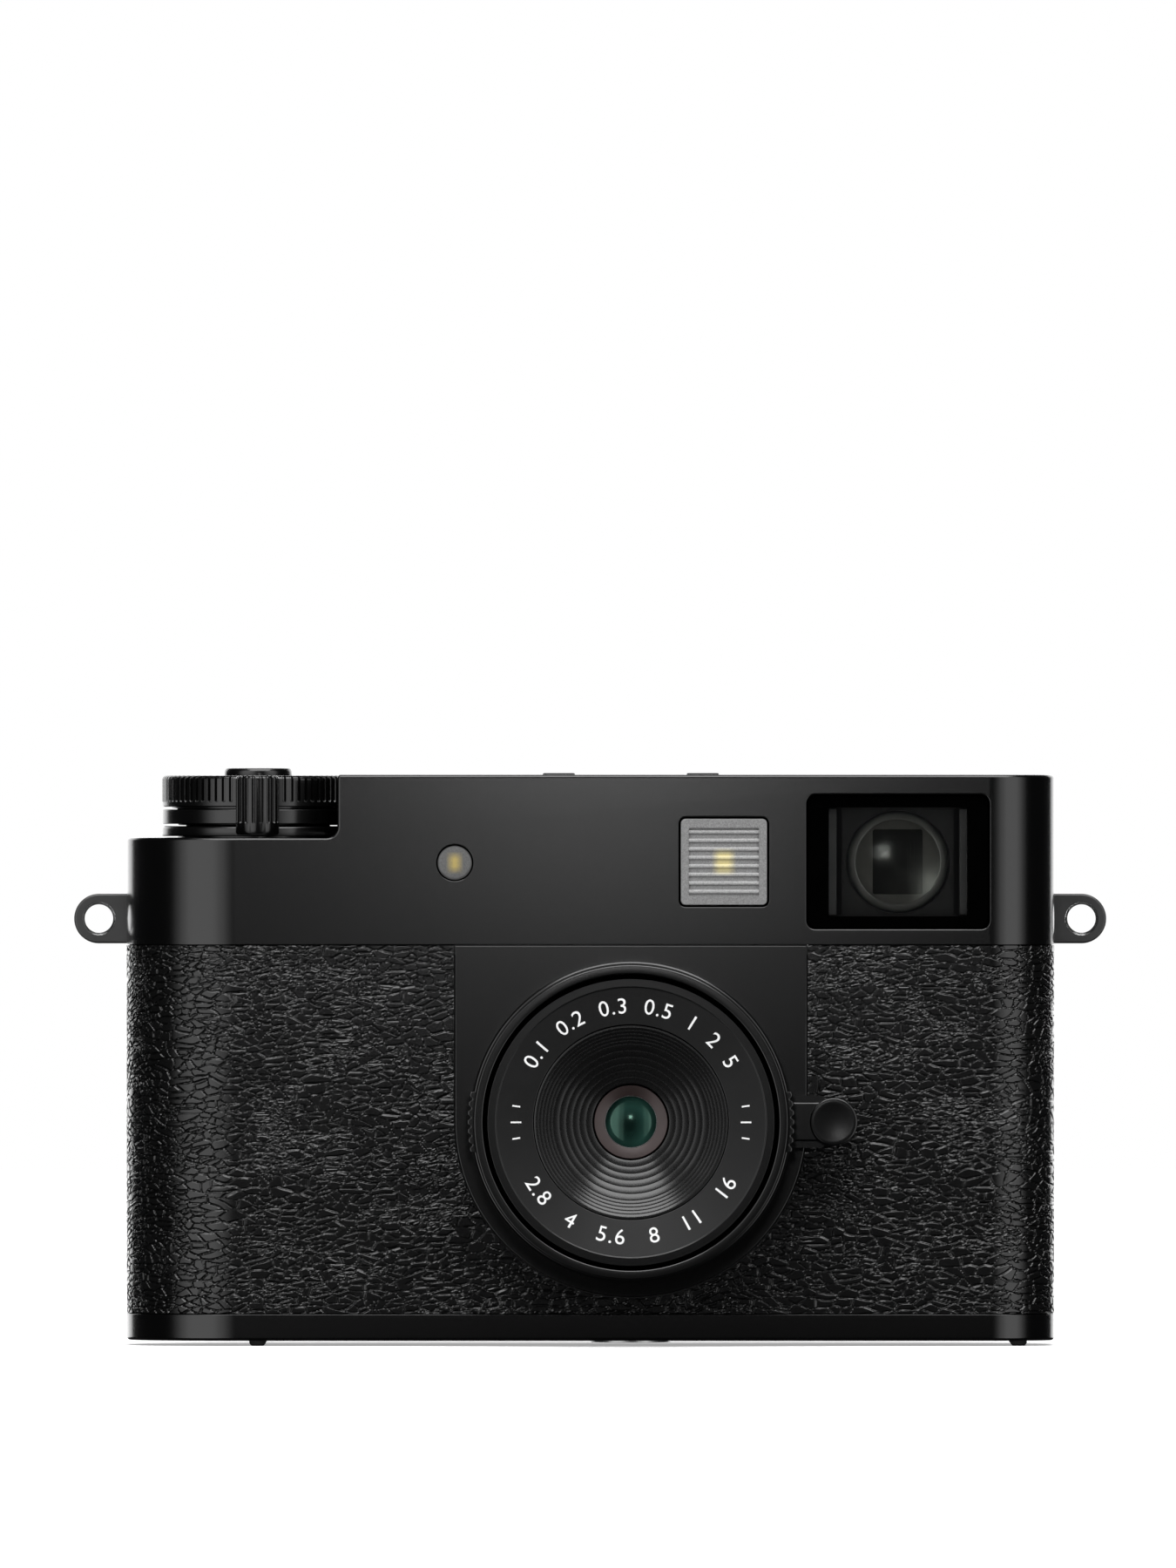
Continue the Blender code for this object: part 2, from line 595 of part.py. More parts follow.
def make_eyepiece():
    """A rubber-faced surround with a sleeve that passes through the cover's rear wall and holds the lens."""
    width, height = EYEPIECE_OPENING
    outer = centred(FINDER_X, FINDER_Z, EYEPIECE_FRAME, 2.0)
    neck = centred(FINDER_X, FINDER_Z, (width - 2 * GAP, height - 2 * GAP), 0.85)
    bore = centred(FINDER_X, FINDER_Z, (width - 3.6, height - 2.2), 0.6)
    lens = centred(FINDER_X, FINDER_Z, (width - 3.9, height - 2.5), 0.5)
    rim = prism("eyepiece_frame", outer, -DEPTH - EYEPIECE_PROUD, -DEPTH - GAP, "rubber", FRONT_FACE, 0.3)
    sleeve = prism("eyepiece_sleeve", neck, -DEPTH - 0.6, 3.4 - DEPTH, parent=FRONT_FACE)
    combine(join(rim, sleeve), prism("cut_eyepiece_bore", bore, -DEPTH - 5, 5 - DEPTH, parent=FRONT_FACE))
    prism("eyepiece_lens", lens, 1 - DEPTH, 2.4 - DEPTH, "glass", FRONT_FACE)


def make_lights():
    pane = centred(FLASH_X, FLASH_Z, (FLASH_SIDE - 2 * GAP,) * 2, 0.55)
    prism("flash_window", pane, -1.2, -0.1, "diffuser", FRONT_FACE)
    board = centred(FLASH_X, FLASH_Z, (8.4, 8.4), 0.4)
    emitter = centred(FLASH_X, FLASH_Z, (2.0, 2.4), 0.2)
    board = prism("flash_board", board, -3.4, -2.6, "circuit", FRONT_FACE)
    join(board, prism("flash_emitter", emitter, -3.0, -1.8, parent=FRONT_FACE))
    rod("lamp_window", LAMP_RADIUS - GAP, (LAMP_X, LAMP_Z, -1.5), 1.35, "diffuser", FRONT_FACE)


# ---- Lens: heights run forwards from the front face ----


def make_barrel():
    flange_low, flange_high, front = -3.4, -2.4, 12.2
    profile = [
        (BARREL_BORE, front),
        (BARREL_RADIUS, front),
        (BARREL_RADIUS, flange_high),
        (18.2, flange_high),
        (18.2, flange_low),
        (BARREL_BORE, flange_low),
    ]
    turned("lens_barrel", profile, "black_metal", LENS_AXIS)


def make_bezel():
    seat, skirt = 12.35, 11.8
    profile = [
        (BEZEL_BORE, LENS_LENGTH - 0.15),
        (BEZEL_BORE + 0.15, LENS_LENGTH),
        (BEZEL_RADIUS - 0.35, LENS_LENGTH),
        (BEZEL_RADIUS, LENS_LENGTH - 0.35),
        (BEZEL_RADIUS, skirt),
        (BARREL_RADIUS + 0.6, skirt),
        (BARREL_RADIUS + 0.6, seat),
        (BARREL_RADIUS - 0.9, seat),
        (BARREL_RADIUS - 0.9, NAME_RING_HEIGHT - GAP),
        (BEZEL_BORE, NAME_RING_HEIGHT - GAP),
    ]
    turned("front_bezel", profile, "black_metal", LENS_AXIS)


def make_name_ring():
    inner, outer = CONE_RADIUS + 0.35, BEZEL_BORE - 0.2
    profile = [
        (inner, NAME_RING_HEIGHT + 0.4),
        (outer, NAME_RING_HEIGHT + 0.8),
        (outer, NAME_RING_HEIGHT),
        (inner, NAME_RING_HEIGHT),
    ]
    turned("name_ring", profile, "black_paint", LENS_AXIS)


def make_baffle():
    """A thin cone that narrows from the name ring to the front cell."""
    rim_top, rim_low, eye_low, sheet = 13.7, 12.0, 6.6, 1.0
    profile = [
        (CONE_RADIUS - 0.6, rim_top),
        (CONE_RADIUS, rim_top),
        (CONE_RADIUS, rim_low),
        (EYE_RADIUS + 0.1 + sheet, eye_low),
        (EYE_RADIUS + 0.1, eye_low),
        (EYE_RADIUS + 0.1, eye_low + sheet),
        (CONE_RADIUS - 2.1, rim_top - 2.7),
    ]
    turned("baffle_cone", profile, "black_plastic", LENS_AXIS)


def make_focus_ring():
    """A ring with an arm at its right, which ends in a round finger rest."""
    low, high, chamfer = 0.6, 5.3, 0.3
    profile = [
        (RING_BORE, high),
        (FOCUS_RADIUS - chamfer, high),
        (FOCUS_RADIUS, high - chamfer),
        (FOCUS_RADIUS, low + chamfer),
        (FOCUS_RADIUS - chamfer, low),
        (RING_BORE, low),
    ]
    ring = turned("focus_ring", profile, "black_metal", LENS_AXIS)
    arm_outline = rounded(FOCUS_RADIUS - 1, FOCUS_ARM_RADIUS, -2.95, 2.95, (0, 0.6, 0.6, 0), 3)
    arm = prism("focus_arm", arm_outline, low + 1.1, high - 1.6, parent=LENS_AXIS)
    knob = rod("focus_knob", KNOB_RADIUS, (FOCUS_ARM_RADIUS, 0, low + 0.9), high, parent=LENS_AXIS)
    join(ring, arm, knob)


def make_aperture_ring():
    """A ring with a ribbed finger pad at each side."""
    low, high, chamfer, radius = 5.7, 11.5, 0.3, 17.6
    profile = [
        (RING_BORE, high),
        (radius - chamfer, high),
        (radius, high - chamfer),
        (radius, low + chamfer),
        (radius - chamfer, low),
        (RING_BORE, low),
    ]
    ring = turned("aperture_ring", profile, "black_metal", LENS_AXIS)
    half_angle, steps, root = asin(PAD_HALF_WIDTH / PAD_RADIUS), 6, radius - 0.6
    for name, middle in (("left", pi), ("right", 0)):
        angles = [middle + half_angle * (2 * i / steps - 1) for i in range(steps + 1)]
        outer = [(PAD_RADIUS * cos(a), PAD_RADIUS * sin(a)) for a in angles]
        inner = [(root * cos(a), root * sin(a)) for a in reversed(angles)]
        join(ring, prism(f"pad_{name}", outer + inner, low + 0.6, high - 0.6, parent=LENS_AXIS))


def make_optics():
    front_height, rear_height = 5.15, -7.2
    cell = EYE_RADIUS - 0.1
    profile = [
        (2.9, front_height + 1.85),
        (cell, front_height + 2.25),
        (cell, front_height - 0.15),
        (3.6, front_height - 0.15),
        (3.6, front_height + 1.05),
        (2.9, front_height + 1.25),
    ]
    turned("front_cell", profile, "dark_metal", LENS_AXIS, steps=32)
    front = [(0, 1.0), *dished(3.3, 0.6, 1.0, 4), (3.3, 0), (0, 0)]
    turned("front_lens", front, "glass", LENS_AXIS, (0, 0, front_height), 32)
    rear = [(0, 2.6), *dished(4.7, 1.2, 2.6, 4), (4.7, 0), (0, 0)]
    turned("rear_lens", rear, "glass", LENS_AXIS, (0, 0, rear_height), 32)
    bore, outer, lip = 5.0, 8.4, 4.2
    low, high = rear_height - 0.6, rear_height + 3.4
    profile = [(bore, high), (outer, high), (outer, low), (lip, low), (lip, low + 0.4), (bore, low + 0.4)]
    turned("focus_group", profile, "black_plastic", LENS_AXIS, steps=32)


def make_shutter():
    """A bulkhead with a round opening and two pins, and one blade on each pin, swung clear of the opening."""
    plate_low, plate_high, opening, reach = -0.2, 1.0, 4.4, 1.7
    outer = BARREL_BORE - GAP
    profile = [(opening, plate_high), (outer, plate_high), (outer, plate_low), (opening, plate_low)]
    unit = turned("shutter_unit", profile, "black_plastic", LENS_AXIS)
    for name, side, behind in (("a", 1, 0.25), ("b", -1, 0.75)):
        pivot = (side * BLADE_ARM, 0)
        pin = rod(f"pin_{name}", 0.5, (*pivot, plate_low - reach), reach + 0.4, parent=LENS_AXIS, steps=12)
        join(unit, pin)
        top = plate_low - behind
        swing = (pi if side > 0 else 0) - radians(BLADE_SWEEP)
        blade = prism(f"shutter_blade_{name}", blade_outline(swing), -0.25, 0, "dark_metal", LENS_AXIS)
        blade.location = Vector((*pivot, top)) * MM
        combine(blade, rod(f"cut_blade_{name}", 0.7, (*pivot, top - 5), 10, parent=LENS_AXIS, steps=12))


def blade_outline(direction, tip=4.75, root=1.5):
    """Two circles, one round the pivot and one at the end of the arm, joined by straight sides."""
    lean = acos((root - tip) / BLADE_ARM)
    end = (BLADE_ARM * cos(direction), BLADE_ARM * sin(direction))
    root_steps, tip_steps = 8, 16
    points = []
    for i in range(root_steps + 1):
        angle = direction + lean + (2 * pi - 2 * lean) * i / root_steps
        points.append((root * cos(angle), root * sin(angle)))
    for i in range(tip_steps + 1):
        angle = direction - lean + 2 * lean * i / tip_steps
        points.append((end[0] + tip * cos(angle), end[1] + tip * sin(angle)))
    return points


def make_electronics():
    block("image_sensor", (LENS_X - 9, 2.2, LENS_Z - 11), (LENS_X + 9, 4.0, LENS_Z + 11), "circuit")
    board = block("main_board", (-12.5, 13.6, 6.0), (47.5, 14.8, 44.0), "circuit")
    join(board, block("board_chip", (8, 12.4, 20), (22, 13.8, 34)))


# ---- Top controls: all turn about the dial axis ----


def make_post():
    """A cup that carries the three rings outside and the button inside."""
    flange_low, flange_top, floor, rim = 54.2, SHOULDER_Z - WALL - GAP, 55.0, 63.0
    flange, stem_hole = 7.5, STEM_RADIUS + 0.4
    profile = [
        (POST_BORE, rim),
        (POST_RADIUS, rim),
        (POST_RADIUS, flange_top),
        (flange, flange_top),
        (flange, flange_low),
        (stem_hole, flange_low),
        (stem_hole, floor),
        (POST_BORE, floor),
    ]
    turned("dial_post", profile, "black_metal", DIAL_AXIS, steps=32)


def make_power_switch():
    """A ring with an upright fluted grip in front of it."""
    low, high = SWITCH_Z
    profile = [
        (HUB_BORE, high),
        (STACK_RADIUS - 0.2, high),
        (STACK_RADIUS, high - 0.2),
        (STACK_RADIUS, low),
        (HUB_BORE, low),
    ]
    ring = turned("power_switch", profile, "black_metal", DIAL_AXIS)
    grip_low, clear = SHOULDER_Z + RUN, STACK_RADIUS + RUN
    height = DIAL_Z[1] - grip_low
    grip = rod("switch_grip", GRIP_RADIUS, (0, -GRIP_REACH, grip_low), height, parent=DIAL_AXIS, steps=20)
    room = rod("cut_grip", clear, (0, 0, high), height, parent=DIAL_AXIS, steps=TURN_STEPS)
    join(ring, combine(grip, room))


def make_advance_lever():
    """A ring with an arm that points to the rear and ends in an upright thumb tab."""
    low, high = LEVER_Z
    step = (8.86, low - 0.15)
    profile = [
        (HUB_BORE, high),
        (STACK_RADIUS, high),
        (STACK_RADIUS, low),
        (step[0], low),
        step,
        (HUB_BORE, step[1]),
    ]
    ring = turned("advance_lever", profile, "black_metal", DIAL_AXIS)
    tip, root_half, root_reach, steps = 1.5, 4.6, 8.0, 8
    reach = LEVER_REACH - tip
    tip_angles = [-pi / 2 + pi * i / steps for i in range(steps + 1)]
    outline = [(reach + tip * cos(a), tip * sin(a)) for a in tip_angles]
    outline += [(root_reach, root_half), (root_reach, -root_half)]
    arm = prism("lever_arm", outline, low, high, parent=DIAL_AXIS)
    arm.rotation_euler.z = radians(LEVER_ANGLE)
    tab_low = SHOULDER_Z + RUN
    place = Matrix.Rotation(radians(LEVER_ANGLE), 3, "Z") @ Vector((reach, 0, tab_low))
    tab = rod("lever_tab", tip, place, high - tab_low + 1.5, parent=DIAL_AXIS, steps=16)
    join(ring, arm, tab)


def make_exposure_dial():
    low, high = DIAL_Z
    skirt, counterbore = low - 0.2, 63.3
    profile = [
        (POST_BORE, high - 0.3),
        (POST_BORE + 0.3, high),
        (STACK_RADIUS - 0.5, high),
        (STACK_RADIUS - 0.1, high - 0.5),
        (STACK_RADIUS, low),
        (9.9, low),
        (9.9, skirt),
        (HUB_BORE, skirt),
        (HUB_BORE, counterbore),
        (POST_BORE, counterbore),
    ]
    turned("exposure_dial", profile, "black_metal", DIAL_AXIS, steps=48)


def make_shutter_button():
    """A cap with a cable-release hole, on a stem that passes through the post's floor."""
    top, skirt, stem_end = BUTTON_TOP_Z, SPRING_Z[1] + 0.2, 53.2
    hole, edge = 1.25, 0.35
    profile = [
        (0, top - 1.3),
        (hole, top - 1.3),
        (hole + 0.1, top - 0.2),
        (BUTTON_RADIUS - edge, top),
        (BUTTON_RADIUS, top - edge),
        (BUTTON_RADIUS, skirt),
        (STEM_RADIUS, skirt),
        (STEM_RADIUS, stem_end),
        (0, stem_end),
    ]
    turned("shutter_button", profile, "black_metal", DIAL_AXIS, steps=32)


def make_button_spring():
    """A coil round the button's stem, from the post's floor to the button's skirt."""
    turns, points_per_turn, wire, coil_radius = 5, 10, 0.22, 2.5
    low, high = SPRING_Z[0] + wire, SPRING_Z[1] - wire
    curve = bpy.data.curves.new("button_spring", "CURVE")
    curve.dimensions = "3D"
    curve.bevel_depth = wire * MM
    curve.bevel_resolution = 0
    curve.use_fill_caps = True
    count = turns * points_per_turn + 1
    spline = curve.splines.new("POLY")
    spline.points.add(count - 1)
    for i, point in enumerate(spline.points):
        angle = 2 * pi * i / points_per_turn
        height = low + (high - low) * i / (count - 1)
        point.co = (coil_radius * cos(angle) * MM, coil_radius * sin(angle) * MM, height * MM, 1)
    curve.materials.append(MATERIALS["steel"])
    spring = bpy.data.objects.new("button_spring", curve)
    spring.parent = DIAL_AXIS
    CAMERA.objects.link(spring)


def make_rear_buttons():
    """Caps that stand out of the top cover's rear wall, each held in by a flange behind the wall."""
    flange_high, flange_low, face, edge = 2.2, WALL + 0.7, -0.4, 0.2
    profile = [
        (0, flange_high),
        (REAR_BUTTON_RADIUS + 1, flange_high),
        (REAR_BUTTON_RADIUS + 1, flange_low),
        (REAR_BUTTON_RADIUS, flange_low),
        (REAR_BUTTON_RADIUS, face + edge),
        (REAR_BUTTON_RADIUS - edge, face),
        (0, face),
    ]
    for name, x in REAR_BUTTONS.items():
        turned(name, profile, "black_metal", FRONT_FACE, (x, REAR_BUTTON_Z, -DEPTH), 24)


make_top_cover()
make_base_cover()
make_body_frame()
make_leather_wrap()
make_lens_panel()
make_rear_panel()
make_lugs()
make_shoe()
make_tripod_socket()
make_feet_and_screws()
make_battery_bay()
make_battery_door()
make_port()
make_finder()
make_eyepiece()
make_lights()
make_barrel()
make_bezel()
make_name_ring()
make_baffle()
make_focus_ring()
make_aperture_ring()
make_optics()
make_shutter()
make_electronics()
make_post()
make_power_switch()
make_advance_lever()
make_exposure_dial()
make_shutter_button()
make_button_spring()
make_rear_buttons()
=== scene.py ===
"""Looks of the compact rangefinder-style camera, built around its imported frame.

Shapes are drawn in millimetres, in the frame's own axes: +Z up and the lens facing -Y. They become
metres where a piece is made. Places and sizes come from the frame's nodes.
"""

from math import acos, asin, ceil, cos, pi, radians, sin, tan

import bmesh
import bpy
import numpy as np
from mathutils import Matrix, Vector


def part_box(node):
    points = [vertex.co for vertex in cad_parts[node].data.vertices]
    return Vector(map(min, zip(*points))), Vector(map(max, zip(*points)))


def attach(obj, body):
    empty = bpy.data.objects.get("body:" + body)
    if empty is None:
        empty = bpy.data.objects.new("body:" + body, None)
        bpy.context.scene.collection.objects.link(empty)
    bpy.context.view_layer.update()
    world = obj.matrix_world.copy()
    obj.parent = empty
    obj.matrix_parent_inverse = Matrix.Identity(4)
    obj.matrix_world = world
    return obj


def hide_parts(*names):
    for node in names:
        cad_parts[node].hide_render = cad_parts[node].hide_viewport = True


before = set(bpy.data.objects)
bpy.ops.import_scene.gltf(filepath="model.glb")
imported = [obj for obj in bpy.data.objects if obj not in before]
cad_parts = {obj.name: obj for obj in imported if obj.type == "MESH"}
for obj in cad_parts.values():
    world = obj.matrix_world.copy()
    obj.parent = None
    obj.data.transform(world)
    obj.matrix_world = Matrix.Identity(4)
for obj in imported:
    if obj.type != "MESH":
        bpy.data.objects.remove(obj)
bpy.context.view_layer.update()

MM = 0.001
GAP = 0.15  # between pieces that meet face to face
TURN_STEPS = 192  # round a turned piece
CORNER_STEPS = 28


def box_mm(node):
    low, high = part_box(node)
    return low / MM, high / MM


def middle_of(node):
    low, high = box_mm(node)
    return (low + high) / 2


# ---- Sizes read from the frame ----

cover_low, cover_high = box_mm("top_cover")
base_low, base_high = box_mm("base_cover")
HALF_WIDTH = cover_high.x
FRONT_Y, REAR_Y = cover_low.y, cover_high.y
MID_Y = (FRONT_Y + REAR_Y) / 2
COVER_Z, TOP_Z = cover_low.z, cover_high.z
BASE_Z, BASE_TOP_Z = base_low.z, base_high.z
CORNER_RADII = (12.5, 7.5, 7.5, 10.0)  # front left, front right, rear right, rear left
WALL = 1.0
FAR = 90.0

lens_middle = middle_of("front_bezel")
LENS_X, LENS_Z = lens_middle.x, lens_middle.z
LENS_LENGTH = FRONT_Y - box_mm("front_bezel")[0].y
BEZEL_RADIUS = box_mm("front_bezel")[1].x - LENS_X
PANEL_RADIUS = box_mm("lens_panel")[1].x - LENS_X

dial_high = box_mm("exposure_dial")[1]
switch_low = box_mm("power_switch")[0]
STACK_X, STACK_Y = middle_of("exposure_dial").x, middle_of("exposure_dial").y
STACK_RADIUS = dial_high.x - STACK_X
DIAL_Z = (61.4, dial_high.z)
LEVER_Z = (59.45, 61.1)
SWITCH_Z = (switch_low.z, 59.2)
SHOULDER_Z = SWITCH_Z[0] - GAP
REBATE, TONGUE = 0.32, 0.28  # the covers lap over the leather and the lens panel
STEP_RADIUS = 9.35  # steps between the stacked rings hide the light that would pass between them
NOTCH_WALL_X = -28.8
POCKET_RADIUS = 11.9

FINDER = middle_of("finder_frame")
FLASH = middle_of("flash_window")
LAMP = middle_of("lamp_window")

# Local axes: across, up and out of the front face, the lens or the rear face; and the dials' axis
UPRIGHT = Matrix.Rotation(radians(90), 4, "X")
FRONT = Matrix.Translation((0, FRONT_Y, 0)) @ UPRIGHT
LENS = Matrix.Translation((LENS_X, FRONT_Y, LENS_Z)) @ UPRIGHT
REAR = Matrix.Translation((0, REAR_Y, 0)) @ Matrix.Rotation(pi, 4, "Z") @ UPRIGHT
DIAL = Matrix.Translation((STACK_X, STACK_Y, 0))


# ---- Outlines ----


def rounded(x0, x1, y0, y1, radii, steps=8):
    """A rectangle with rounded corners, anticlockwise from the low corner."""
    if not isinstance(radii, tuple):
        radii = (radii,) * 4
    signs = ((1, 1), (-1, 1), (-1, -1), (1, -1))
    corners = ((x0, y0), (x1, y0), (x1, y1), (x0, y1))
    points = []
    for turn, ((x, y), (sx, sy), r) in enumerate(zip(corners, signs, radii)):
        for i in range(steps + 1):
            angle = radians(180 + 90 * turn + 90 * i / steps)
            points.append((x + sx * r + r * cos(angle), y + sy * r + r * sin(angle)))
    return points


def centred(x, z, size, radius, inset=0.0, steps=6):
    half_x, half_z = size[0] / 2 - inset, size[1] / 2 - inset
    return rounded(x - half_x, x + half_x, z - half_z, z + half_z, max(radius - inset, 0.02), steps)


def body_plan(inset, steps=CORNER_STEPS):
    radii = tuple(r - inset for r in CORNER_RADII)
    return rounded(
        inset - HALF_WIDTH, HALF_WIDTH - inset, FRONT_Y + inset, REAR_Y - inset, radii, steps
    )


def notch_plan(grow):
    """What the shoulder leaves open: everything left of the wall, and a round pocket for the dials."""
    wall, radius, steps = NOTCH_WALL_X + grow, POCKET_RADIUS + grow, 36
    half_angle = acos((wall - STACK_X) / radius)
    angles = [half_angle * (2 * i / steps - 1) for i in range(steps + 1)]
    pocket = [(STACK_X + radius * cos(a), STACK_Y + radius * sin(a)) for a in angles]
    return [(-FAR, -FAR), (wall, -FAR), *pocket, (wall, FAR), (-FAR, FAR)]


def shield(radius, top):
    """The lens panel seen along the lens axis: straight sides over a half circle."""
    steps = 72
    arc = [(radius * cos(a), radius * sin(a)) for a in [pi + pi * i / steps for i in range(steps + 1)]]
    return [*arc, (radius, top - LENS_Z), (-radius, top - LENS_Z)]


def softened(points, radius, steps=3):
    """A closed outline with its corners rounded. Points on the axis and points along a curve stay."""
    result = []
    for i, point in enumerate(points):
        corner = Vector(point)
        before = Vector(points[i - 1]) - corner
        after = Vector(points[(i + 1) % len(points)]) - corner
        if abs(corner.x) < 1e-6 or before.angle(after) > radians(165):
            result.append(tuple(corner))
            continue
        reach = min(radius, 0.45 * before.length, 0.45 * after.length)
        start, end = corner + before.normalized() * reach, corner + after.normalized() * reach
        for k in range(steps + 1):
            t = k / steps
            result.append(tuple(start * (1 - t) ** 2 + corner * 2 * t * (1 - t) + end * t**2))
    return result


def chamfered(bore, radius, low, high, width):
    """A ring's section with both outer edges cut off at 45 degrees."""
    outer = [(radius - width, high), (radius, high - width), (radius, low + width), (radius - width, low)]
    return [(bore, high), *outer, (bore, low)]


def dished(radius, rim_height, middle_height, steps=12):
    """Points of a domed or hollow face, from near its middle to its rim, on a parabola."""
    fall = rim_height - middle_height
    return [(radius * i / steps, middle_height + fall * (i / steps) ** 2) for i in range(1, steps + 1)]


# ---- Solids, as bmeshes in millimetres ----


def closed_solid(bm):
    bmesh.ops.remove_doubles(bm, verts=bm.verts, dist=1e-5)
    bmesh.ops.recalc_face_normals(bm, faces=bm.faces)
    return bm


def loft(rings, is_loop=False):
    """Joins rings of equally many points, and caps both ends unless the last ring meets the first."""
    bm = bmesh.new()
    rows = [[bm.verts.new(point) for point in ring] for ring in rings]
    pairs = list(zip(rows, rows[1:]))
    if is_loop:
        pairs.append((rows[-1], rows[0]))
    for lower, upper in pairs:
        for i in range(len(lower)):
            j = (i + 1) % len(lower)
            bm.faces.new((lower[i], lower[j], upper[j], upper[i]))
    if not is_loop:
        bm.faces.new(rows[0][::-1])
        bm.faces.new(rows[-1])
    return closed_solid(bm)


def turned(profile, steps=TURN_STEPS, radius_at=None):
    """Turns (radius, height) points round the local Z axis. radius_at(radius, height, angle) cuts
    grooves into the result."""
    angles = [2 * pi * i / steps for i in range(steps)]
    rings = []
    for radius, height in profile:
        radii = [radius_at(radius, height, a) if radius_at else radius for a in angles]
        rings.append([(r * cos(a), r * sin(a), height) for r, a in zip(radii, angles)])
    return loft(rings, is_loop=min(point[0] for point in profile) > 0)


def prism(outline_at, low, high, round_low=0.0, round_high=0.0, steps=4):
    """Stacks an outline, given as a function of how far it is moved inwards, with quarter-round rims."""
    levels = []
    turns = [pi / 2 * i / steps for i in range(steps + 1)]
    if round_low:
        levels += [(round_low * (1 - sin(t)), low + round_low * (1 - cos(t))) for t in turns]
    else:
        levels.append((0.0, low))
    if round_high:
        levels += [(round_high * (1 - cos(t)), high - round_high * (1 - sin(t))) for t in turns]
    else:
        levels.append((0.0, high))
    return loft([[(x, y, z) for x, y in outline_at(inset)] for inset, z in levels])


def plain_prism(outline, low, high):
    return loft([[(x, y, z) for x, y in outline] for z in (low, high)])


def panel(x, z, size, radius, low, high, **rims):
    """A rectangular plate that faces out of its local axes."""
    return prism(lambda inset: centred(x, z, size, radius, inset), low, high, **rims)


def window_flange(x, z, size, overlap, radii, low, high):
    """A frame behind the wall round a window: it closes the gap round the pane to light."""
    outer = panel(x, z, [side + overlap for side in size], radii[0], low, high)
    return cut(outer, panel(x, z, [side - 0.4 for side in size], radii[1], -5, 5))


def block(low, high, rim=0.0):
    low, high = Vector(low), Vector(high)
    corner = max(rim, 0.01)
    return prism(
        lambda inset: rounded(low.x + inset, high.x - inset, low.y + inset, high.y - inset, corner, 3),
        low.z,
        high.z,
        round_low=rim,
        round_high=rim,
        steps=3,
    )


def rod(radius, low, high, at=(0, 0), rim=0.0, steps=96):
    profile = [(0, low), (radius, low), (radius, high), (0, high)]
    solid = turned(softened(profile, rim) if rim else profile, steps)
    bmesh.ops.translate(solid, verts=solid.verts, vec=(*at, 0))
    return solid


def moved(solid, matrix):
    solid.transform(matrix)
    return solid


def as_object(solid):
    mesh = bpy.data.meshes.new("shape")
    solid.to_mesh(mesh)
    solid.free()
    obj = bpy.data.objects.new("shape", mesh)
    bpy.context.scene.collection.objects.link(obj)
    return obj


def combine(solid, others, operation="DIFFERENCE"):
    """The exact cut or union of a solid with others, with coplanar faces joined again."""
    target, tools = as_object(solid), [as_object(other) for other in others]
    for tool in tools:
        step = target.modifiers.new("step", "BOOLEAN")
        step.operation = operation
        step.solver = "EXACT"
        step.object = tool
    result = bmesh.new()
    result.from_object(target, bpy.context.evaluated_depsgraph_get())
    for obj in (target, *tools):
        mesh = obj.data
        bpy.data.objects.remove(obj)
        bpy.data.meshes.remove(mesh)
    bmesh.ops.remove_doubles(result, verts=result.verts, dist=1e-4)
    bmesh.ops.dissolve_limit(
        result,
        angle_limit=radians(0.2),
        verts=result.verts,
        edges=result.edges,
        use_dissolve_boundaries=False,
    )
    return result


def join(solid, *others):
    return combine(solid, others, "UNION")


def cut(solid, *others):
    return combine(solid, others)


def round_edges(solid, width, is_chosen, segments=3):
    """Rounds the outer edges, sharper than 30 degrees, whose ends are both chosen."""
    edges = [
        edge
        for edge in solid.edges
        if len(edge.link_faces) == 2
        and edge.is_convex
        and edge.calc_face_angle() > radians(30)
        and all(is_chosen(vertex.co) for vertex in edge.verts)
    ]
    bmesh.ops.bevel(
        solid, geom=edges, offset=width, segments=segments, profile=0.5, affect="EDGES", clamp_overlap=False
    )
    return solid


# ---- Materials ----


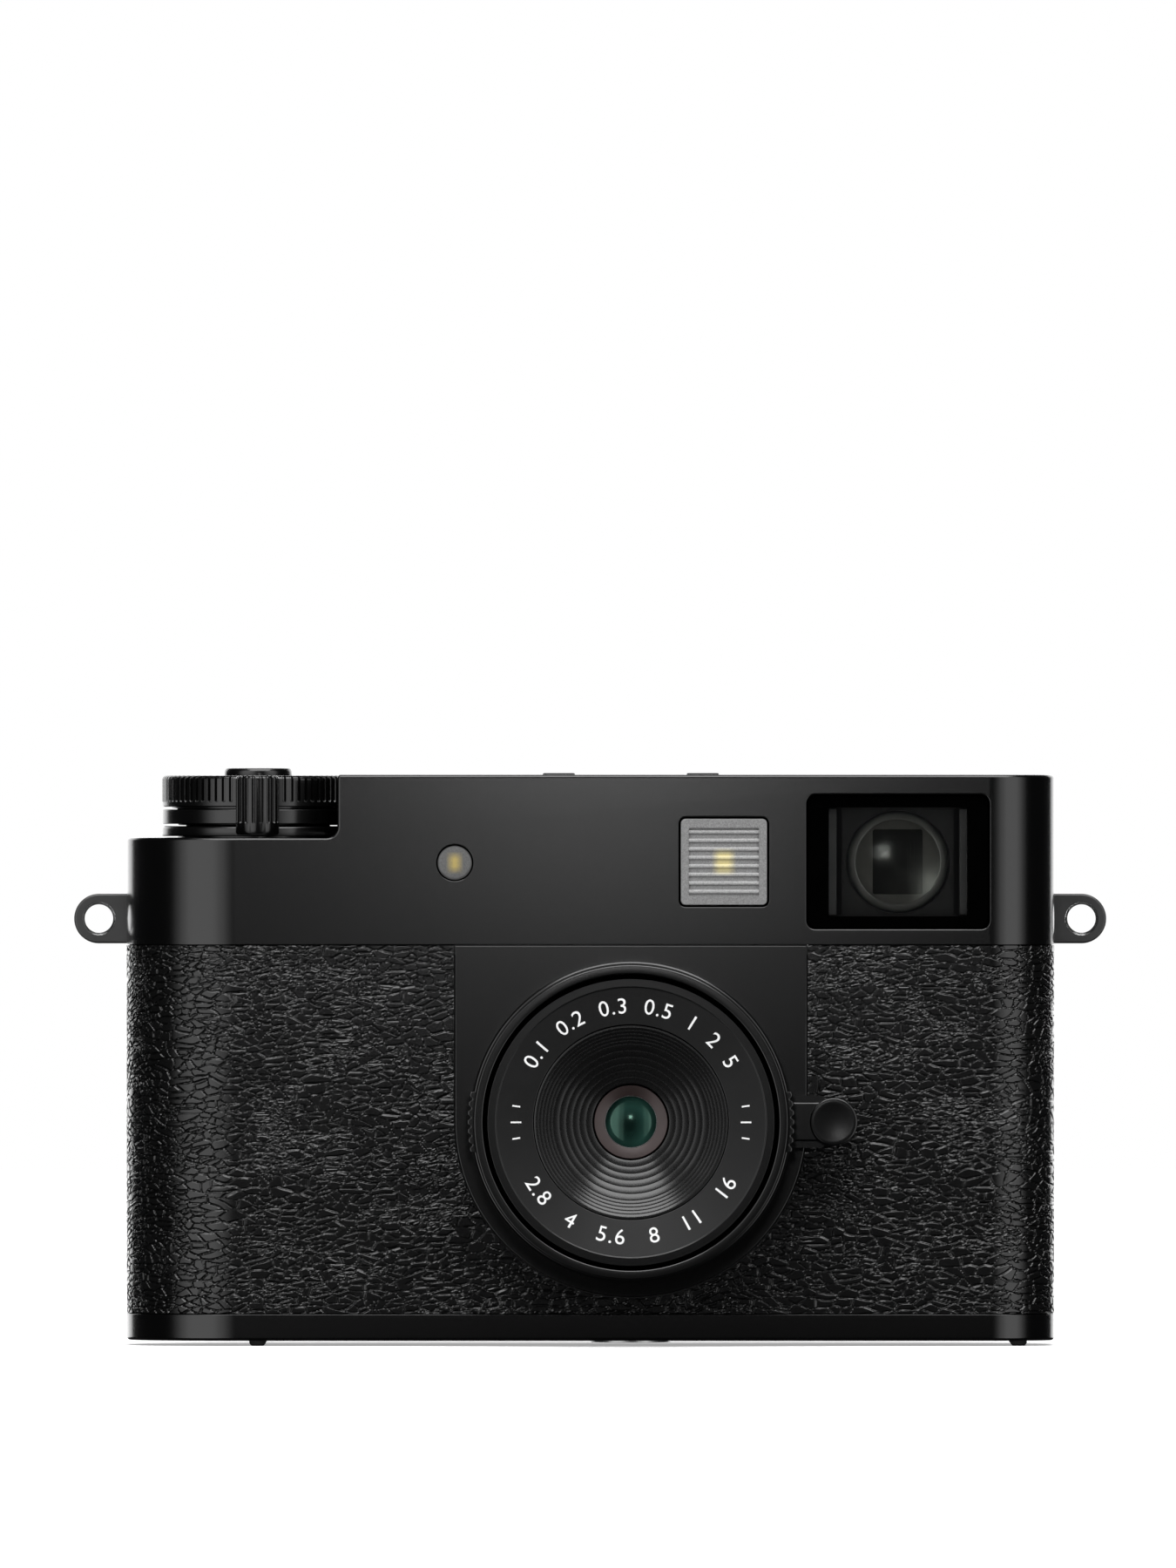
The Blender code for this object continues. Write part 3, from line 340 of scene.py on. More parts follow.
class Finish:
    """A Principled material with procedural layers, whose textures are scaled per millimetre."""

    def __init__(self, name, roughness, metallic=0.0, **values):
        self.material = bpy.data.materials.new(name)
        self.material.use_nodes = True
        self.tree = self.material.node_tree
        self.shader = self.tree.nodes["Principled BSDF"]
        self.shader.inputs["Roughness"].default_value = roughness
        self.shader.inputs["Metallic"].default_value = metallic
        for socket, value in values.items():
            self.shader.inputs[socket.replace("_", " ")].default_value = value
        place = self.add("ShaderNodeTexCoord").outputs["Object"]
        self.place = self.add("ShaderNodeMapping", Vector=place, Scale=(1 / MM,) * 3).outputs[0]

    def add(self, kind, settings=None, **inputs):
        node = self.tree.nodes.new(kind)
        for name, value in (settings or {}).items():
            setattr(node, name, value)
        for name, value in inputs.items():
            self.feed(node.inputs[name.replace("_", " ")], value)
        return node

    def feed(self, socket, value):
        if isinstance(value, bpy.types.NodeSocket):
            self.tree.links.new(value, socket)
        else:
            socket.default_value = value

    def math(self, operation, first, second=0.0, clamp=False):
        node = self.add("ShaderNodeMath", {"operation": operation, "use_clamp": clamp})
        self.feed(node.inputs[0], first)
        self.feed(node.inputs[1], second)
        return node.outputs[0]

    def noise(self, scale, detail=2.0, stretch=None, rough=0.5):
        vector = self.place
        if stretch:
            vector = self.add("ShaderNodeMapping", Vector=vector, Scale=stretch).outputs[0]
        return self.add(
            "ShaderNodeTexNoise", Vector=vector, Scale=scale, Detail=detail, Roughness=rough
        ).outputs["Fac"]

    def ranged(self, value, source, target):
        """Maps a value from one range to another, held at the ends."""
        return self.add(
            "ShaderNodeMapRange",
            Value=value,
            From_Min=source[0],
            From_Max=source[1],
            To_Min=target[0],
            To_Max=target[1],
        ).outputs[0]

    def blend(self, factor, first, second):
        node = self.add("ShaderNodeMix", {"data_type": "RGBA"})
        self.feed(node.inputs["Factor"], factor)
        colours = [socket for socket in node.inputs if socket.type == "RGBA"]
        for socket, colour in zip(colours, (first, second)):
            self.feed(socket, colour if isinstance(colour, bpy.types.NodeSocket) else (*colour, 1.0))
        return next(socket for socket in node.outputs if socket.type == "RGBA")

    def toned(self, value, source, first, second):
        """Goes from the first colour to the second as a value crosses a range."""
        return self.blend(self.ranged(value, source, (0, 1)), first, second)

    def colour(self, value):
        self.feed(self.shader.inputs["Base Color"], value)

    def roughness(self, value):
        self.feed(self.shader.inputs["Roughness"], value)

    def bump(self, height, depth_mm):
        """Adds relief, over any that is there already."""
        node = self.add("ShaderNodeBump", Height=height, Strength=1.0, Distance=depth_mm * MM)
        normal = self.shader.inputs["Normal"]
        if normal.is_linked:
            self.feed(node.inputs["Normal"], normal.links[0].from_socket)
        self.feed(normal, node.outputs[0])

    def attribute(self, name):
        return self.add("ShaderNodeAttribute", {"attribute_name": name}).outputs["Fac"]


def grained(name, tones, roughness, metallic=0.0, grain=(7.0, 0.004), patch=0.25, **values):
    """A moulded, painted or blasted surface: two tones in broad patches, and fine grain in its relief
    and its gloss."""
    finish = Finish(name, roughness[0], metallic, **values)
    broad = finish.noise(patch, 3.0)
    fine = finish.noise(grain[0], 2.0, rough=0.6)
    finish.colour(finish.toned(broad, (0.35, 0.65), *tones))
    finish.roughness(finish.ranged(fine, (0.3, 0.7), roughness))
    finish.bump(fine, grain[1])
    return finish


def grey(value, warm=0.0):
    return (value * (1 + warm), value, value * (1 - warm))


def make_leather_finish():
    """Moulded leatherette: creases are duller than the tops of the pebbles, and painted darker than them as
    shade.
    """
    finish = Finish("leatherette", 0.3, Specular_IOR_Level=0.42)
    ramp = {"interpolation_type": "SMOOTHSTEP"}
    main = finish.add("ShaderNodeMapRange", ramp, Value=finish.attribute("crease"), From_Max=0.19).outputs[0]
    split = finish.add(
        "ShaderNodeMapRange", ramp, Value=finish.attribute("split"), From_Max=0.14, To_Min=0.55
)
    top = finish.math("MULTIPLY", main, split.outputs[0])
    pores = finish.noise(6.0, 3.0, rough=0.65)
    patches = finish.noise(0.3, 2.0)
    tone = finish.toned(patches, (0.35, 0.65), grey(0.0030), grey(0.0042))
    # Painted shade: the creases get a near-black colour, darker than the pebble tops around them.
    finish.colour(finish.toned(top, (0.1, 0.75), grey(0.0008), tone))
    gloss = finish.ranged(top, (0.2, 0.9), (0.24, 0.15))
    finish.roughness(finish.math("ADD", gloss, finish.ranged(pores, (0.3, 0.7), (-0.03, 0.05))))
    finish.bump(top, 0.16)
    finish.bump(pores, 0.005)
    return finish


def make_clear_glass(name, tint, mirror_tint, blur=(0.015, 0.04), index=1.5):
    """A coated pane: it lets light straight through, and mirrors some of it in the coating's colour."""
    finish = Finish(name, 0.05)
    nodes = finish.tree.nodes
    nodes.remove(finish.shader)
    smear = finish.ranged(finish.noise(0.8, 3.0), (0.4, 0.7), blur)
    through = finish.add("ShaderNodeBsdfTransparent", Color=(*tint, 1.0))
    mirror = finish.add("ShaderNodeBsdfAnisotropic", Color=(*mirror_tint, 1.0), Roughness=smear)
    share = finish.add("ShaderNodeFresnel", IOR=index)
    mix = finish.add("ShaderNodeMixShader")
    finish.feed(mix.inputs[0], share.outputs[0])
    finish.feed(mix.inputs[1], through.outputs[0])
    finish.feed(mix.inputs[2], mirror.outputs[0])
    finish.feed(nodes["Material Output"].inputs["Surface"], mix.outputs[0])
    return finish


def make_lens_glass():
    """The coated front element over a dark interior: painted dark in the middle as shade, and painted a
    lighter green towards its rim as a reflection of the coating.
    """
    finish = Finish("lens_glass", 0.10, Specular_IOR_Level=0.75, Specular_Tint=(0.55, 1.0, 0.8, 1.0))
    centre = finish.add("ShaderNodeVectorMath", {"operation": "DISTANCE"})
    finish.feed(centre.inputs[0], finish.place)
    finish.feed(centre.inputs[1], (LENS_X - 0.25, FRONT_Y - 6, LENS_Z - 0.35))
    radius = centre.outputs["Value"]
    cloud = finish.noise(0.3, 1.0)
    painted_rim_reflection = finish.toned(cloud, (0.3, 0.7), (0.010, 0.033, 0.026), (0.022, 0.07, 0.056))
    # Painted shade and reflection: near black in the middle, where the shaded interior shows, and lighter
    # green towards the rim.
    finish.colour(finish.toned(radius, (0.5, 2.2), (0.003, 0.010, 0.008), painted_rim_reflection))
    finish.roughness(finish.ranged(cloud, (0.3, 0.7), (0.08, 0.13)))
    return finish


def make_diffuser(name, centre, emitter, tones, glow, falloff):
    """Frosted plastic with speckle, and the yellow emitter showing softly through it."""
    finish = Finish(name, 0.5, Specular_IOR_Level=0.3)
    speckle = finish.noise(7.0, 2.0, rough=0.7)
    frost = finish.toned(speckle, (0.3, 0.7), *tones)
    sides = finish.add("ShaderNodeSeparateXYZ", Vector=finish.place)
    shares = []
    for axis, place, half in ((0, centre.x, emitter[0] / 2), (2, centre.z, emitter[1] / 2)):
        away = finish.math("ABSOLUTE", finish.math("SUBTRACT", sides.outputs[axis], place))
        shares.append(finish.ranged(away, (half - falloff, half + falloff), (1, 0)))
    lit = finish.math("MULTIPLY", *shares)
    finish.colour(
        finish.blend(finish.math("MULTIPLY", lit, finish.ranged(speckle, (0.2, 0.6), (0.6, 1))), frost, glow)
)
    finish.bump(speckle, 0.01)
    return finish


def make_display_finish():
    finish = Finish("display", 0.06, Coat_Weight=1.0, Coat_Roughness=0.03)
    smudge = finish.noise(0.12, 4.0, rough=0.6)
    finish.colour(finish.toned(smudge, (0.4, 0.6), (0.003, 0.003, 0.004), (0.005, 0.005, 0.007)))
    finish.roughness(finish.ranged(smudge, (0.4, 0.7), (0.04, 0.11)))
    return finish


def make_circuit_finish():
    finish = Finish("circuit", 0.45)
    tracks = finish.add("ShaderNodeTexVoronoi", {"distance": "MANHATTAN"}, Vector=finish.place, Scale=0.8)
    copper = finish.ranged(tracks.outputs["Distance"], (0.28, 0.3), (1, 0))
    finish.colour(finish.blend(copper, (0.008, 0.05, 0.025), (0.02, 0.11, 0.05)))
    finish.bump(copper, 0.02)
    return finish


def make_finishes():
    finishes = {
        "paint": grained("black_paint", (grey(0.0004), grey(0.0007)), (0.17, 0.22), grain=(6.5, 0.0012)),
        "metal": grained("black_metal", (grey(0.0008), grey(0.0012)), (0.20, 0.25), grain=(9.0, 0.0008)),
        "ring": grained("black_ring", (grey(0.0008), grey(0.0012)), (0.19, 0.23), grain=(9.0, 0.0006)),
        "plastic": grained("black_plastic", (grey(0.004), grey(0.006)), (0.45, 0.55), grain=(5.0, 0.006)),
        "matte": grained("matte_black", (grey(0.0003), grey(0.0005)), (0.85, 0.95), Specular_IOR_Level=0.0),
        "shade": grained("window_panel", (grey(0.016), grey(0.019)), (0.5, 0.6), Specular_IOR_Level=0.2),
        "bar": grained("window_bar", (grey(0.075), grey(0.085)), (0.45, 0.55), Specular_IOR_Level=0.4),
        "rubber": grained("rubber", (grey(0.010), grey(0.014)), (0.7, 0.85), grain=(4.0, 0.012)),
        "steel": grained("steel", (grey(0.45), grey(0.52)), (0.25, 0.4), 1.0, grain=(8.0, 0.002)),
        "dark_metal": grained("dark_metal", (grey(0.05), grey(0.06)), (0.32, 0.42), 0.6, grain=(8.0, 0.002)),
        "bright_edge": grained("bright_edge", (grey(0.5), grey(0.6)), (0.12, 0.2), 1.0, grain=(8.0, 0.001)),
        "cell": grained(
            "lens_cell", ((0.03, 0.019, 0.018), (0.04, 0.026, 0.025)), (0.3, 0.4), 0.3, grain=(8.0, 0.001)
),
        "ink": grained("white_ink", (grey(0.72), grey(0.8)), (0.4, 0.5), grain=(8.0, 0.003)),
        "battery_case": grained("battery_case", (grey(0.04), grey(0.05)), (0.4, 0.5)),
        "flash": make_diffuser(
            "flash_diffuser", FLASH, (1.9, 2.4), (grey(0.12), grey(0.24)), (0.5, 0.43, 0.2), 0.45
),
        "rib": make_diffuser(
            "flash_rib", FLASH, (1.9, 2.4), (grey(0.2), grey(0.36)), (0.62, 0.55, 0.3), 0.45
),
        "lamp": make_diffuser(
            "lamp_diffuser", LAMP, (1.1, 1.7), (grey(0.07), grey(0.115)), (0.36, 0.28, 0.09), 0.45
),
        "leather": make_leather_finish(),
        "face": grained("ring_face", (grey(0.006), grey(0.0075)), (0.22, 0.27), grain=(9.0, 0.0008)),
        "funnel": grained("funnel", (grey(0.006), grey(0.007)), (0.24, 0.29), grain=(9.0, 0.0008)),
        "rim": grained("lens_rim", (grey(0.15), grey(0.18)), (0.3, 0.4), grain=(9.0, 0.001)),
        "lip": grained("cell_lip", (grey(0.10), grey(0.12)), (0.22, 0.28), 0.9, grain=(8.0, 0.001)),
        "screen": grained("screen", (grey(0.010), grey(0.012)), (0.1, 0.16), grain=(9.0, 0.0005)),
        "lens_glass": make_lens_glass(),
        "pane": make_clear_glass("pane_glass", (0.95, 0.95, 0.94), (0.95, 0.97, 1.0)),
        "coated": make_clear_glass("coated_glass", (0.9, 0.9, 0.88), (0.95, 1.0, 0.97), (0.08, 0.14), 1.33),
        "display": make_display_finish(),
        "circuit": make_circuit_finish(),
    }
    return {name: finish.material for name, finish in finishes.items()}


FINISHES = make_finishes()


# ---- Pieces ----


def make_piece(name, parts, body="root", replaces=(), axes=None, smooth_angle=40):
    """One object from (solid, finish) pairs, riding on a CAD body."""
    mesh = bpy.data.meshes.new(name)
    whole = bmesh.new()
    for index, (solid, finish) in enumerate(parts):
        mesh.materials.append(FINISHES[finish])
        for face in solid.faces:
            face.material_index = index
        part = bpy.data.meshes.new("part")
        solid.to_mesh(part)
        solid.free()
        whole.from_mesh(part)
        bpy.data.meshes.remove(part)
    whole.transform(Matrix.Scale(MM, 4) @ (axes or Matrix.Identity(4)))
    whole.to_mesh(mesh)
    whole.free()
    mesh.shade_smooth()
    mesh.set_sharp_from_angle(angle=radians(smooth_angle))
    obj = bpy.data.objects.new(name, mesh)
    bpy.context.scene.collection.objects.link(obj)
    weighted = obj.modifiers.new("normals", "WEIGHTED_NORMAL")
    weighted.keep_sharp = True
    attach(obj, body)
    if replaces:
        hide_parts(*replaces)
    return obj


def flared(middle, size, radius, rim):
    """Cutter for an opening in the front, whose edge it leaves rounded."""
    def outline(inset):
        return centred(middle.x, middle.z, size, radius, -inset, 16)

    return moved(prism(outline, -5, 0.002, round_high=rim), FRONT)


def make_top_cover():
    cover = plain_prism(body_plan(0), COVER_Z, TOP_Z)
    fillet = 1.2
    notch = prism(lambda inset: notch_plan(-inset), SHOULDER_Z, FAR, round_low=fillet, steps=6)
    cover = cut(cover, notch)
    step = cut(rod(STEP_RADIUS - GAP, SHOULDER_Z - 0.5, SHOULDER_Z + 0.3), rod(5.45, 0, FAR))
    round_edges(cover, 0.38, lambda p: p.z > SHOULDER_Z - 0.01)
    round_edges(cover, 0.08, lambda p: p.z < COVER_Z + 0.01, segments=2)
    shoe_low, shoe_high = box_mm("shoe_rails")
    spring_room = shoe_low.z - GAP
    cavity = plain_prism(body_plan(WALL), COVER_Z - FAR, TOP_Z - WALL)
    rebate = plain_prism(body_plan(REBATE - 0.06), COVER_Z - FAR, COVER_Z + TONGUE)
    shell = WALL + GAP
    shoe_shell = block(
        (shoe_low.x - shell, shoe_low.y - shell, spring_room - WALL), (shoe_high.x + shell, FAR, FAR)
    )
    cavity = cut(cavity, plain_prism(notch_plan(WALL), SHOULDER_Z - WALL, FAR), shoe_shell)
    shoe = block((shoe_low.x - GAP, shoe_low.y - GAP, spring_room), (shoe_high.x + GAP, FAR, FAR))
    panel_low, panel_high = box_mm("rear_panel")
    display = block(
        (panel_low.x - GAP, REAR_Y - 4, 0), (24.5 + GAP, FAR, panel_high.z + GAP)
    )
    finder_size = box_mm("finder_frame")[1] - box_mm("finder_frame")[0]
    flash_size = box_mm("flash_window")[1] - box_mm("flash_window")[0]
    holes = [
        flared(LAMP, (4.2, 4.2), 2.1, 0.1),
        flared(FINDER, (finder_size.x + 0.3, finder_size.z + 0.3), 1.0, 0.2),
        flared(FLASH, (flash_size.x + 0.45, flash_size.z + 0.45), 0.8, 0.13),
        moved(panel(-FINDER.x, FINDER.z, (13.2, 9.2), 1.0, -5, 5), REAR),
        moved(rod(5.0 + GAP, SHOULDER_Z - 5, SHOULDER_Z + 5), DIAL),
    ]
    for name in ("play_button", "drive_button"):
        place = middle_of(name)
        holes.append(moved(rod(2.0 + GAP, -5, 5, (-place.x, place.z)), REAR))
    for name, side in (("lug_left", -1), ("lug_right", 1)):
        low, high = box_mm(name)
        x0, x1 = sorted((side * (HALF_WIDTH - 4), side * (HALF_WIDTH + 3)))
        holes.append(block((x0, low.y - GAP, 0), (x1, high.y + GAP, high.z + GAP)))
    cover = cut(cover, cavity, rebate, shoe, display, *holes)
    round_edges(cover, 0.15, lambda p: p.y > REAR_Y - 0.001 and COVER_Z + 0.5 < p.z < TOP_Z - 0.5)
    cover = join(cover, moved(step, DIAL))
    make_piece("top_cover_shell", [(cover, "paint")], replaces=["top_cover"])


def make_base_cover():
    base = prism(body_plan, BASE_Z, BASE_TOP_Z, round_low=0.4, round_high=0.08)
    door_low, door_high = box_mm("battery_door")
    pin = middle_of("door_pin")
    door = block((door_low.x - GAP, door_low.y - GAP, -FAR), (door_high.x + GAP, pin.y + 1.15, FAR))
    socket = middle_of("tripod_socket")
    holes = [rod(4.56 + GAP, -5, 5, (socket.x, socket.y))]
    for name in FEET + SCREWS:
        low, high = box_mm(name)
        holes.append(
            rod((high.x - low.x) / 2 + GAP, -5, 5, ((low.x + high.x) / 2, (low.y + high.y) / 2), steps=48)
)
    cavity = plain_prism(body_plan(WALL), BASE_Z + WALL, FAR)
    rebate = plain_prism(body_plan(REBATE - 0.06), BASE_TOP_Z - TONGUE, FAR)
    base = cut(base, cavity, rebate, door, *holes)
    round_edges(base, 0.1, lambda p: p.z < BASE_Z + 0.001, segments=2)
    ears = []
    for x in (door_low.x - 1.2, door_high.x - 1.0):
        ears.append(block((x, pin.y - 0.9, BASE_Z + 0.2), (x + 2.2, pin.y + 1.8, pin.z + 1.1), 0.1))
    make_piece(
        "base_cover_shell", [(join(base, *ears), "paint")], replaces=["base_cover"]
)


FEET = ["foot_front_left", "foot_front_right", "foot_rear_left", "foot_rear_right"]
SCREWS = ["base_screw_1", "base_screw_2", "base_screw_3", "base_screw_4"]

make_top_cover()
make_base_cover()
# ---- Leather ----


LEATHER_DEPTH = 0.55
LEATHER_LOW, LEATHER_HIGH = BASE_TOP_Z + 0.1, COVER_Z - 0.1
LEATHER_PITCH = (0.20, 0.118)
LEATHER_PITCH_REAR = (0.26, 0.16)
CREASE_DEPTH = 0.13
PEBBLE_STRETCH = 2.2
OUTLINE = np.array(body_plan(0, 400))


def smooth_lattice(seed, size=512):
    return np.random.default_rng(seed).random((size, size))


def smooth_noise(lattice, x, y):
    """Random values at whole numbers, joined smoothly."""
    size = len(lattice)
    i, j = np.floor(x).astype(int), np.floor(y).astype(int)
    fx, fy = x - i, y - j
    fx, fy = fx * fx * (3 - 2 * fx), fy * fy * (3 - 2 * fy)
    low = lattice[i % size, j % size] * (1 - fx) + lattice[(i + 1) % size, j % size] * fx
    high = lattice[i % size, (j + 1) % size] * (1 - fx) + lattice[(i + 1) % size, (j + 1) % size] * fx
    return low * (1 - fy) + high * fy


def cell_edges(x, y, pitch, seed, thinning):
    """Distance to the nearest crease of a random cell pattern, and a random value for each cell.
    Cells are larger where thinning, a number from 0 to 1, leaves more of them out."""
    size, reach = 512, 2
    draw = np.random.default_rng(seed)
    seeds = draw.random((size, size, 2))
    keep = draw.random((size, size))
    values = draw.random((size, size))
    column, row = np.floor(x / pitch).astype(int), np.floor(y / pitch).astype(int)
    first = np.full(x.shape, 1e9)
    second = np.full(x.shape, 1e9)
    first_x, first_y, second_x, second_y, value = (np.zeros(x.shape) for _ in range(5))
    for di in range(-reach, reach + 1):
        for dj in range(-reach, reach + 1):
            i, j = column + di, row + dj
            at = (i % size, j % size)
            seed_x, seed_y = (i + seeds[at][..., 0]) * pitch, (j + seeds[at][..., 1]) * pitch
            away = (seed_x - x) ** 2 + (seed_y - y) ** 2
            away = np.where(keep[at] < thinning, 1e8, away)
            nearest = away < first
            next_nearest = ~nearest & (away < second)
            second = np.where(nearest, first, np.where(next_nearest, away, second))
            second_x = np.where(nearest, first_x, np.where(next_nearest, seed_x, second_x))
            second_y = np.where(nearest, first_y, np.where(next_nearest, seed_y, second_y))
            first = np.where(nearest, away, first)
            first_x, first_y = np.where(nearest, seed_x, first_x), np.where(nearest, seed_y, first_y)
            value = np.where(nearest, values[at], value)
    between = np.hypot((second_x - first_x) / PEBBLE_STRETCH, second_y - first_y) + 1e-6
    return (second - first) / (2 * between), value


def crease_distances(along, up):
    """Distances to the nearest crease between pebbles, and to the nearest of the shallower creases
    that split some pebbles. The pebbles are drawn out along the body."""
    warp = smooth_lattice(11)
    x = along / PEBBLE_STRETCH + 0.8 * (smooth_noise(warp, along / 3.0, up / 2.0 + 40) - 0.5)
    y = up + 0.9 * (smooth_noise(warp, along / 5.5 + 90, up / 3.5) - 0.5)
    y = y + 0.25 * (smooth_noise(warp, along / 1.3 + 30, up / 0.9 + 70) - 0.5)
    crowd = smooth_noise(smooth_lattice(12), along / 6.0, up / 3.0)
    edge, value = cell_edges(x, y, 0.66, 21, 0.3 * crowd)
    small_edge, _ = cell_edges(x + 7, y + 5, 0.44, 22, 0.15)
    whole = np.clip((crowd + 0.5 * value - 0.55) * 5, 0, 1)
    return edge, small_edge + 0.4 * whole


def outline_at(along):
    """Places and outward normals on the body's outline, by distance from the left end's front corner."""
    steps = np.roll(OUTLINE, -1, axis=0) - OUTLINE
    lengths = np.hypot(*steps.T)
    total = lengths.sum()
    marks = np.concatenate([[0], np.cumsum(lengths)])
    points = np.vstack([OUTLINE, OUTLINE[:1]])
    middles = (marks[1:] + marks[:-1]) / 2
    at = np.mod(along, total)
    x, y = np.interp(at, marks, points[:, 0]), np.interp(at, marks, points[:, 1])
    normal_x = np.interp(at, middles, steps[:, 1] / lengths, period=total)
    normal_y = np.interp(at, middles, -steps[:, 0] / lengths, period=total)
    size = np.hypot(normal_x, normal_y)
    return x, y, normal_x / size, normal_y / size


def front_mark(x):
    """Distance along the outline of a place on the front face."""
    return CORNER_RADII[0] * pi / 2 + x + HALF_WIDTH - CORNER_RADII[0]


def right_mark(y):
    return front_mark(HALF_WIDTH - CORNER_RADII[1]) + CORNER_RADII[1] * pi / 2 + y - FRONT_Y - CORNER_RADII[1]


def rear_mark(x):
    corner = right_mark(REAR_Y - CORNER_RADII[2]) + CORNER_RADII[2] * pi / 2
    return corner + HALF_WIDTH - CORNER_RADII[2] - x


def left_mark(y):
    corner = rear_mark(CORNER_RADII[3] - HALF_WIDTH) + CORNER_RADII[3] * pi / 2
    return corner + REAR_Y - CORNER_RADII[3] - y


def outside_openings(along, up):
    """Distance to the lens panel's and the port's cut-outs, negative inside them."""
    across, above = along - front_mark(LENS_X), up - LENS_Z
    radius = PANEL_RADIUS + GAP
    from_panel = np.where(above < 0, np.hypot(across, above), np.abs(across)) - radius
    port_low, port_high = box_mm("port_door")
    middle, half = right_mark((port_low.y + port_high.y) / 2), (port_high.y - port_low.y) / 2 + 0.4
    centre_z, half_z = (port_low.z + port_high.z) / 2, (port_high.z - port_low.z) / 2 + 0.3
    from_port = np.maximum(np.abs(along - middle) - half, np.abs(up - centre_z) - half_z)
    return np.minimum(from_panel, from_port)


def leather_grid(start, end, pitch):
    """The face as an unrolled grid: points (along, up), and quads clear of the openings, with the
    points next to an opening moved onto its edge."""
    low, high = LEATHER_LOW, LEATHER_HIGH
    columns, rows = ceil((end - start) / pitch[0]), ceil((high - low) / pitch[1])
    along, up = np.meshgrid(
        np.linspace(start, end, columns + 1), np.linspace(low, high, rows + 1), indexing="ij"
)
    number = np.arange(along.size).reshape(along.shape)
    quads = np.stack([number[:-1, :-1], number[1:, :-1], number[1:, 1:], number[:-1, 1:]], -1).reshape(-1, 4)
    along, up = along.ravel(), up.ravel()
    away = outside_openings(along, up)
    quads = quads[(away[quads] > 0).sum(1) >= 2]
    tiny = 1e-3
    slope_along = (outside_openings(along + tiny, up) - away) / tiny
    slope_up = (outside_openings(along, up + tiny) - away) / tiny
    size = np.maximum(slope_along**2 + slope_up**2, 1e-6)
    shift = np.where(away < 0.25 * pitch[0], -away / size, 0)
    near = np.abs(away) < 1.5 * pitch[0]
    along, up = along + np.where(near, shift * slope_along, 0), up + np.where(near, shift * slope_up, 0)
    used, quads = np.unique(quads, return_inverse=True)
    return along[used], up[used], quads.reshape(-1, 4)


def make_leather_piece(name, start, end, pitch):
    """A displaced face, a rim round it and a plain back, all in the unrolled plane, then wrapped on."""
    along, up, quads = leather_grid(start, end, pitch)
    edge, split_edge = crease_distances(along, up)
    height = np.clip(edge / 0.2, 0, 1) * (0.8 + 0.2 * np.clip(split_edge / 0.15, 0, 1))
    flat = bpy.data.meshes.new("flat")
    flat.from_pydata(np.stack([along, up, np.zeros_like(up)], 1).tolist(), [], quads.tolist())
    bm = bmesh.new()
    bm.from_mesh(flat)
    bpy.data.meshes.remove(flat)
    rim = [edge for edge in bm.edges if len(edge.link_faces) == 1]
    for depth, tongue in ((REBATE, 0), (REBATE, TONGUE), (LEATHER_DEPTH, 0)):
        back = bmesh.ops.extrude_edge_only(bm, edges=rim)["geom"]
        for vertex in (item for item in back if isinstance(item, bmesh.types.BMVert)):
            vertex.co.z = -depth
            if abs(vertex.co.y - LEATHER_LOW) < 1e-5:
                vertex.co.y -= tongue
            elif abs(vertex.co.y - LEATHER_HIGH) < 1e-5:
                vertex.co.y += tongue
        rim = [item for item in back if isinstance(item, bmesh.types.BMEdge) and len(item.link_faces) == 1]
    bmesh.ops.triangle_fill(bm, use_beauty=True, use_dissolve=False, edges=rim, normal=(0, 0, -1))
    bmesh.ops.recalc_face_normals(bm, faces=bm.faces)
    mesh = bpy.data.meshes.new(name)
    bm.to_mesh(mesh)
    bm.free()
    points = np.empty(len(mesh.vertices) * 3)
    mesh.vertices.foreach_get("co", points)
    points = points.reshape(-1, 3)
    heights = np.ones(len(points))
    heights[: len(height)] = height
    inwards = -points[:, 2] + np.where(points[:, 2] < -0.1, 0, CREASE_DEPTH * (1 - heights))
    x, y, normal_x, normal_y = outline_at(points[:, 0])
    placed = np.stack([x - normal_x * inwards, y - normal_y * inwards, points[:, 1]], 1) * MM
    mesh.vertices.foreach_set("co", placed.ravel())
    for attribute_name, values in (("crease", edge), ("split", split_edge)):
        whole = np.ones(len(points), np.float32)
        whole[: len(values)] = values
        mesh.attributes.new(attribute_name, "FLOAT", "POINT").data.foreach_set("value", whole)
    mesh.materials.append(FINISHES["leather"])
    mesh.shade_smooth()
    normals = np.array([corner.vector[:] for corner in mesh.corner_normals])
    corners = np.empty(len(mesh.loops), int)
    mesh.loops.foreach_get("vertex_index", corners)
    face = np.repeat(np.arange(len(mesh.polygons)) < len(quads), [p.loop_total for p in mesh.polygons])
    outward = np.stack([normal_x, normal_y, np.zeros_like(normal_x)], 1)
    normals[face] = outward[corners[face]]
    mesh.normals_split_custom_set(normals.tolist())
    obj = bpy.data.objects.new(name, mesh)
    bpy.context.scene.collection.objects.link(obj)
    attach(obj, "root")
    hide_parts("leather_wrap")


def make_leather():
    outline_length = left_mark(FRONT_Y + CORNER_RADII[0])
    rear_right, rear_left = box_mm("rear_panel")[1].x + GAP, box_mm("rear_panel")[0].x - GAP
    before_front = left_mark(MID_Y) - outline_length
    make_leather_piece("leather_front_left", before_front, front_mark(LENS_X), LEATHER_PITCH)
    make_leather_piece("leather_front_right", front_mark(LENS_X), right_mark(MID_Y), LEATHER_PITCH)
    make_leather_piece("leather_end_right", right_mark(MID_Y), rear_mark(rear_right), LEATHER_PITCH_REAR)
    make_leather_piece("leather_end_left", rear_mark(rear_left), left_mark(MID_Y), LEATHER_PITCH_REAR)


# ---- Casing fittings ----


